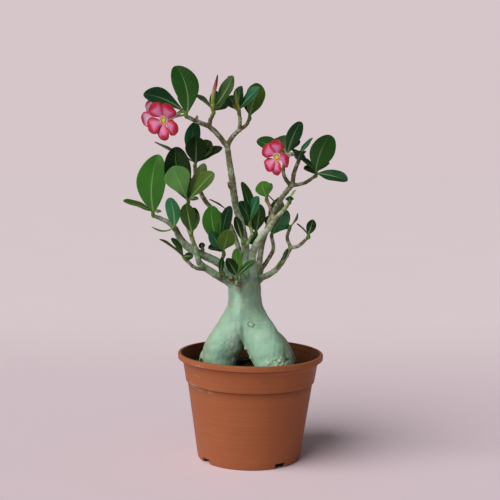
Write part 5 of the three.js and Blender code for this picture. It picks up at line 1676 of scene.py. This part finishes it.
class DESERTROSE_OT_stems(bpy.types.Operator):
    """Caudex and branches: round stems along smooth curves, grown into one skin by a voxel
    remesh and eased by repeated averaging, then pushed out by scars, folds and marks; and
    the dry thread twig, a mesh of its own."""

    bl_idname = "desert_rose.add_stems"
    bl_label = "Caudex and branches"

    def execute(self, context):
        plant = context.scene.desert_rose_plant
        stems = [stations for _, _, stations in BRANCHES]
        threads = [stations for stations in stems if stations[0][3] < THREAD_RADIUS]
        twigs = [stations for stations in stems if stations not in threads]
        thick = [tube(stations, STEM_STEPS, LEG_SIDES) for stations in LEGS]
        thick += [tube(stations, TWIG_STEPS, ROOT_SIDES) for stations in ROOTS]
        thick += [tube(stations, TWIG_STEPS, TWIG_SIDES) for stations in twigs]
        rough = new_object("bark_skin", mesh_of("bark_skin", joined(thick)))
        remesh = rough.modifiers.new("skin", "REMESH")
        remesh.mode = "VOXEL"
        remesh.voxel_size = plant.bark_cell * 1
        finished(rough)
        mesh = rough.data
        points = np.empty(len(mesh.vertices) * 3)
        mesh.vertices.foreach_get("co", points)
        edges = np.empty(len(mesh.edges) * 2, np.int32)
        mesh.edges.foreach_get("vertices", edges)
        points = smoothed(points.reshape(-1, 3) / MM, edges.reshape(-1, 2), BARK_EASINGS)
        mesh.vertices.foreach_set("co", (points * MM).ravel())
        mesh.update()
        normals = np.empty(len(points) * 3)
        mesh.vertex_normals.foreach_get("vector", normals)
        normals = normals.reshape(-1, 3)
        tint, where = dressed_bark(points, stem_samples())
        swollen = where[:, 1]
        push = where[:, 2] * plant.bark_relief / MM
        folds = FOLDS[0] * ripple(points, FOLDS[1], SEED + 2, 3)
        folds += WRINKLES[0] * ripple(points * (1, 1, 0.35), WRINKLES[1], SEED + 3, 2)
        push += swollen * folds
        knobs = BRANCH_KNOBS[0] * ripple(points, BRANCH_KNOBS[1], SEED + 4, 2)
        push += (1 - swollen) * knobs
        slim = np.clip(1 - swollen, 0, 1)
        shaded = np.clip(0.45 * normals[:, 0] - 0.75 * normals[:, 2], 0, 1) * slim
        tint = laid_on(tint, 0.7 * shaded, SKIN_TINTS["shaded_wood"])
        flank = np.clip(3 * np.abs(normals[:, 0]) - 2, 0, 1) * swollen
        tint = laid_on(tint, 0.5 * flank, SKIN_TINTS["flank"])
        front = (normals[:, 1] < 0.35) * (swollen > 0.3)
        # Lays on the caudex's marks, painted shade, a painted highlight and painted light among
        # them.
        for x, z, wide, high, colour, strength, relief in CAUDEX_MARKS_AND_PAINTED_LIGHT:
            reach = front * np.exp(-how_far(points, x, z, wide, high) ** 2)
            tint = laid_on(tint, strength * reach, colour)
            push += relief * reach
        far = how_far(points, *RINGED_SCAR) + 0.16 * ripple(points, 5, SEED + 10, 2)
        worn = np.clip(ripple(points, 7, SEED + 9, 2) + 0.95, 0.45, 1)
        ring = front * worn * np.exp(-(((far - 1) / 0.21) ** 2))
        middle = front * np.clip(1.1 - far, 0, 0.5) * 2
        tint = laid_on(tint, 0.5 * middle * worn, SKIN_TINTS["scar_middle"])
        tint = laid_on(tint, 0.95 * ring, SKIN_TINTS["scar_ring"])
        push += RING_MIDDLE * middle - RING_DEPTH * ring
        patch = front * np.exp(-how_far(points, *KNOBBLY_PATCH) ** 4)
        knobs = np.clip(ripple(points, PATCH_KNOBS[1], SEED + 6, 3) + 0.1, 0, 1) * patch
        cracks = np.clip(ripple(points, PATCH_CRACKS[1], SEED + 7, 2) - 0.35, 0, 1) * patch
        tint = laid_on(tint, 0.9 * knobs, SKIN_TINTS["knob"])
        tint = laid_on(tint, 0.9 * cracks, SKIN_TINTS["crack"])
        push += PATCH_KNOBS[0] * knobs - PATCH_CRACKS[0] * cracks
        patch = front * np.exp(-how_far(points, *BRUSHED_PATCH) ** 2)
        brush = np.clip(ripple(points * (1, 1, 0.3), BRUSH_STROKES[1], SEED + 8, 2), 0, 1) * patch
        tint = laid_on(tint, 0.6 * brush, SKIN_TINTS["brushed"])
        push -= BRUSH_STROKES[0] * brush
        points = points + normals * push[:, None]
        mesh.vertices.foreach_set("co", (points * MM).ravel())
        mesh.shade_smooth()
        give_marks(mesh, {"tint": tint, "where": where})
        mesh.update()
        material = smooth_bark()
        settle(rough, material, ["caudex_and_branches"])
        marks = {"tint": linear(WOOD_TINTS["brown"])[None, None], "where": np.zeros((1, 1, 3))}
        dry = [tube(stations, STEM_STEPS, THREAD_SIDES, **marks) for stations in threads]
        thread = new_object("dry_twig", mesh_of("dry_twig", joined(dry)))
        settle(thread, material, [])
        return {"FINISHED"}


def stalk_stations(tip_middle, bend, base, aim):
    """Stations of the stalk and calyx under a flower, from the middle of the green tip."""
    foot = base - aim * (CALYX_LENGTH + SEAT_GAP)
    top = base - aim * SEAT_GAP
    waist = base - aim * (CALYX_LENGTH * 0.45 + SEAT_GAP)
    return (
        [(*tip_middle, PEDICEL_RADIUS)]
        + [(*point, PEDICEL_RADIUS * 0.95) for point in bend]
        + [(*foot, PEDICEL_RADIUS), (*waist, CALYX_RADIUS * 0.86), (*top, CALYX_RADIUS * 0.96)]
    )


def green_tube(stations, tint, top_tint=None):
    """A green stem with leaf marks: far from any rib, halfway along, and a tint that may
    change to its top."""
    first = linear(LEAF_TINTS[tint])
    last = linear(LEAF_TINTS[top_tint or tint])
    fade = lambda share, angle: (1 - share[..., None]) * first + share[..., None] * last
    away, halfway = np.array([[[0, 9, 9]]]), np.array([[[0, 0.5, 0]]])
    return tube(stations, TWIG_STEPS, GREEN_SIDES, tint=fade, where=away, kind=halfway)


def sepals(base, aim, reach, girth):
    """Five short pointed lobes that stand round the foot of a flower's tube."""
    side = square_to((0.3, 0.2, 1), aim)
    green = linear(LEAF_TINTS["calyx_green"])
    made = []
    for turn in range(SEPAL_COUNT):
        out = turned_about(side, aim, 360 / SEPAL_COUNT * turn)
        foot = base + out * (girth - SEPAL_SUNK) - aim * SEPAL_DROP
        tip = base + out * (girth + SEPAL_LEAN) + aim * reach
        made.append(blade(foot, tip, -out, **SEPAL, tint=green))
    return made


class DESERTROSE_OT_shoots(bpy.types.Operator):
    """Leafy shoots: each a green tip with its leaves, whose blades are profiles carried
    along bowed midribs, its small buds, and the stalks and calyces of its flowers."""

    bl_idname = "desert_rose.add_shoots"
    bl_label = "Leafy shoots"

    def execute(self, context):
        plant = context.scene.desert_rose_plant
        dice = np.random.default_rng(SEED)
        material = leathery_leaf()
        ends = {stations[-1][:3]: stations[-2][:3] for _, _, stations in BRANCHES}
        for name, shoot in SHOOTS.items():
            foot, aim = np.array(shoot["foot"], float), np.array(shoot["aim"], float)
            rise = unit(foot - np.array(ends[shoot["foot"]], float))
            parts = [green_tube(
                [(*(foot + rise * SEAT_GAP), TIP_RADIUS), (*(foot + rise * TIP_RADIUS), TIP_RADIUS),
                 (*(foot + aim * 0.8), TIP_RADIUS * 0.7), (*(foot + aim), TIP_RADIUS * 0.4)],
                "tip_green")]
            for number, leaf in enumerate(shoot["leaves"]):
                x, y, z, width, turn, arch, sway, tint, *broadest = leaf
                root = foot + aim * (LOWEST_LEAF + LEAF_STRETCH * number / len(shoot["leaves"]))
                tip = foot + (x, y, z)
                along = unit(tip - root)
                face = turned_about(square_to((0, -1, 0), along), along, turn)
                green = linear(LEAF_TINTS[tint]) * dice.uniform(0.92, 1.08)
                parts.append(blade(
                    root, tip, face, width, **LEAF, broadest=(broadest or [LEAF_BROADEST])[0],
                    arch=arch, sway=sway, rib=plant.rib / MM, margin=plant.margin / MM,
                    wave=min(plant.leaf_wave / MM, width * LARGEST_WAVE),
                    waves=dice.uniform(1.2, 2.2), phase=dice.uniform(0, 6.28),
                    curl=dice.uniform(-0.12, 0.02), tip_curl=dice.uniform(-0.03, 0.01),
                    tint=green))
            for number, stations in enumerate(shoot.get("budlets", ())):
                placed = [(*(foot + place), girth)
                          for *place, girth in np.array(stations, float)]
                tall = number == 0 and len(stations) > 3
                greens = ("bud_green", "bud_green") if tall else ("stalk_green", "bud_red")
                parts.append(green_tube(placed, *greens))
            borne = [
                ([flower["bend"]], flower["base"], flower["aim"], FLOWER_SEPAL, TUBE_FOOT_RADIUS)
                for flower in COROLLAS.values() if flower["shoot"] == name
            ]
            for bud in BUDS.values():
                if bud["shoot"] == name:
                    (*base, girth), (*following, _) = bud["stations"][:2]
                    borne.append(([], base, np.subtract(following, base), BUD_SEPAL, girth))
            for bend, base, way, reach, girth in borne:
                base, way = np.array(base, float), unit(way)
                stalk = stalk_stations(foot + aim / 2, bend, base, way)
                parts.append(green_tube(stalk, "stalk_green", "calyx_green"))
                parts += sepals(base, way, reach, girth)
            shrub = new_object("shoot_" + name, mesh_of("shoot_" + name, joined(parts)))
            settle(shrub, material, ["leaves_" + name])
        return {"FINISHED"}


def flared_tube():
    """Profile of a flower's tube, from its foot up the outside, over the lip and down to its
    inner bottom, and, for each of its points, 1 if it lies inside. The radius grows from the
    foot's by the throat's excess over it x (share of the length)^1.5."""
    up = np.linspace(0, 1, TUBE_RINGS)
    flare = TUBE_FOOT_RADIUS + (THROAT_RADIUS - TUBE_FOOT_RADIUS) * up**TUBE_FLARE
    wall = [(radius, TUBE_LENGTH * share) for radius, share in zip(flare, up)]
    lip = (THROAT_RADIUS - TUBE_WALL / 2, TUBE_LENGTH + TUBE_LIP)
    bottom = TUBE_BOTTOM * TUBE_LENGTH
    inside = [(radius - TUBE_WALL, height) for radius, height in wall[::-1] if height > bottom + 1]
    profile = [(NEAR_AXIS, 0)] + wall + [lip] + inside + [(1, bottom), (NEAR_AXIS, bottom)]
    within = np.zeros((len(profile), 1))
    within[len(wall) + 2:] = 1
    return profile, within


class DESERTROSE_OT_corollas(bpy.types.Operator):
    """Open flowers: a flared tube with five broad petals rooted in its rim, each twisted over
    the next, and five stamens in its throat."""

    bl_idname = "desert_rose.add_corollas"
    bl_label = "Open flowers"

    def execute(self, context):
        plant = context.scene.desert_rose_plant
        dice = np.random.default_rng(SEED + 5)
        material = pink_petal()
        for name, flower in COROLLAS.items():
            spread, paler = flower["spread"], flower["paler"]
            profile, within = flared_tube()
            share = np.array([height / TUBE_LENGTH for _, height in profile])[:, None]
            where = np.stack([0.1 + 0 * within, 1 + 0 * within, -within], -1)
            kind = np.stack([1 - within, 0.45 * share, paler + 0 * within], -1)
            parts = [lathe(profile, TUBE_SIDES, where=where, kind=kind)]
            for angle in flower["petals"]:
                out = np.array([math.cos(math.radians(angle)), math.sin(math.radians(angle)), 0])
                root = out * (THROAT_RADIUS - TUBE_WALL - PETAL_SUNK)
                root += (0, 0, TUBE_LENGTH - PETAL_DROP)
                tip = out * PETAL_REACH * spread + (0, 0, TUBE_LENGTH + PETAL_LIFT)
                face = turned_about(np.array([0.0, 0, 1]), out, PETAL_TWIST)
                parts.append(blade(
                    root, tip, face, PETAL_WIDTH * spread, **PETAL, wave=plant.petal_wave / MM,
                    waves=dice.uniform(1.6, 2.4), phase=dice.uniform(0, 6.28), paler=paler))
            for turn in range(STAMEN_COUNT):
                angle = 2 * math.pi * turn / STAMEN_COUNT + STAMEN_TURN
                out = np.array([math.cos(angle), math.sin(angle)])
                stations = [(*(out * reach), TUBE_LENGTH * share, girth)
                            for reach, share, girth in STAMEN]
                # The stamens take the throat's yellow and its painted glow.
                throat = {"where": np.array([[[0, 0, -1]]]), "kind": np.zeros((1, 1, 3))}
                parts.append(tube(stations, STAMEN_STEPS, STAMEN_SIDES, **throat))
            bloom = joined(parts)
            forward = unit(flower["aim"])
            rightward = unit(np.cross((0, 0, 1), forward))
            basis = np.stack([rightward, np.cross(forward, rightward), forward])
            bloom["points"] = bloom["points"] @ basis + flower["base"]
            petals = new_object("petals_" + name, mesh_of("petals_" + name, bloom))
            settle(petals, material, [name])
        return {"FINISHED"}


class DESERTROSE_OT_buds(bpy.types.Operator):
    """Furled buds: round stems whose radius swells by a sawtooth of five folds that wind
    about two thirds of the way round the bud from foot to point."""

    bl_idname = "desert_rose.add_buds"
    bl_label = "Furled buds"

    def execute(self, context):
        material = furled_petals()

        def fold(share, angle):
            return (BUD_FOLDS * angle / (2 * math.pi) + BUD_WINDING * share) % 1.0

        def bulge(share, angle):
            middle = np.sin(math.pi * np.clip(share, 0.05, 0.95))
            return BUD_SLIMMING + BUD_FOLD * fold(share, angle) * middle

        def where(share, angle):
            return np.stack([fold(share, angle), share + 0 * angle, 0 * angle], -1)

        for name, bud in BUDS.items():
            twist = tube(bud["stations"], BUD_STEPS, BUD_SIDES, bulge=bulge, where=where)
            piece = new_object("twist_" + name, mesh_of("twist_" + name, twist))
            settle(piece, material, [name])
        return {"FINISHED"}


def turned_by(degrees, axis):
    """Turn about one of the scene's axes."""
    return Matrix.Rotation(math.radians(degrees), 4, axis)


class DESERTROSE_OT_stage(bpy.types.Operator):
    """Stage: a wide flat floor, a soft sun from the left, pale surroundings, the camera."""

    bl_idname = "desert_rose.add_stage"
    bl_label = "Stage"

    def execute(self, context):
        scene = context.scene
        stage = scene.desert_rose_stage
        half = FLOOR_HALF
        corners = [(-half, -half, 0), (half, -half, 0), (half, half, 0), (-half, half, 0)]
        mesh = bpy.data.meshes.new("floor")
        mesh.from_pydata(corners, [], [(0, 1, 2, 3)])
        floor = new_object("floor", mesh)
        floor.data.materials.append(plain_floor(tuple(stage.floor)))
        sun = bpy.data.lights.new("soft_window", "SUN")
        sun.energy = stage.key
        sun.angle = math.radians(SUN_WIDTH)
        sun.color = SUN_COLOUR
        lamp = bpy.data.objects.new("soft_window", sun)
        lamp.matrix_world = turned_by(SUN_TURN, "Z") @ turned_by(SUN_TILT, "X")
        scene.collection.objects.link(lamp)
        world = bpy.data.worlds.new("pale_room")
        world.use_nodes = True
        scene.world = world
        nodes = Nodes(world.node_tree)
        seen = nodes.add("ShaderNodeLightPath").outputs["Is Camera Ray"]
        glow = nodes.add("ShaderNodeBackground", {"Color": (1, 1, 1, 1), "Strength": stage.fill})
        wall = nodes.add("ShaderNodeBackground", {"Color": tuple(stage.sky), "Strength": 1.0})
        both = nodes.add("ShaderNodeMixShader", {0: seen, 1: glow.outputs[0], 2: wall.outputs[0]})
        nodes.plug(world.node_tree.nodes["World Output"].inputs["Surface"], both.outputs[0])
        scene.view_settings.view_transform = "Standard"
        camera = bpy.data.cameras.new("camera")
        camera.sensor_width = CAMERA_SENSOR
        camera.lens = stage.lens
        camera.clip_end = CAMERA_REACH
        eye = bpy.data.objects.new("camera", camera)
        aim = turned_by(CAMERA_TILT, "X") @ turned_by(CAMERA_ROLL, "Z")
        eye.matrix_world = Matrix.Translation(CAMERA_PLACE) @ aim
        scene.collection.objects.link(eye)
        scene.camera = eye
        return {"FINISHED"}


class DESERTROSE_PT_pieces(bpy.types.Panel):
    """Lists the pieces of the potted desert rose, each with its settings."""

    bl_idname = "DESERTROSE_PT_pieces"
    bl_label = "Desert rose"
    bl_space_type = "VIEW_3D"
    bl_region_type = "UI"
    bl_category = "Desert rose"

    def draw(self, context):
        for settings in (context.scene.desert_rose_pot, context.scene.desert_rose_plant,
                         context.scene.desert_rose_stage):
            box = self.layout.box()
            for name in settings.__annotations__:
                box.prop(settings, name)
        for operator in OPERATORS:
            self.layout.operator(operator.bl_idname)


SETTINGS = (
    ("desert_rose_pot", DesertRosePot),
    ("desert_rose_plant", DesertRosePlant),
    ("desert_rose_stage", DesertRoseStage),
)
OPERATORS = (
    DESERTROSE_OT_stage,
    DESERTROSE_OT_pot,
    DESERTROSE_OT_soil,
    DESERTROSE_OT_stems,
    DESERTROSE_OT_shoots,
    DESERTROSE_OT_corollas,
    DESERTROSE_OT_buds,
)


def register():
    for _, group in SETTINGS:
        bpy.utils.register_class(group)
    for operator in OPERATORS:
        bpy.utils.register_class(operator)
    bpy.utils.register_class(DESERTROSE_PT_pieces)
    for name, group in SETTINGS:
        setattr(bpy.types.Scene, name, bpy.props.PointerProperty(type=group))


def unregister():
    for name, _ in SETTINGS:
        delattr(bpy.types.Scene, name)
    bpy.utils.unregister_class(DESERTROSE_PT_pieces)
    for operator in reversed(OPERATORS):
        bpy.utils.unregister_class(operator)
    for _, group in reversed(SETTINGS):
        bpy.utils.unregister_class(group)


def main():
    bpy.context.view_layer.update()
    register()
    for operator in OPERATORS:
        family, action = operator.bl_idname.split(".")
        getattr(getattr(bpy.ops, family), action)()
    bpy.context.view_layer.update()


if __name__ == "__main__":
    main()
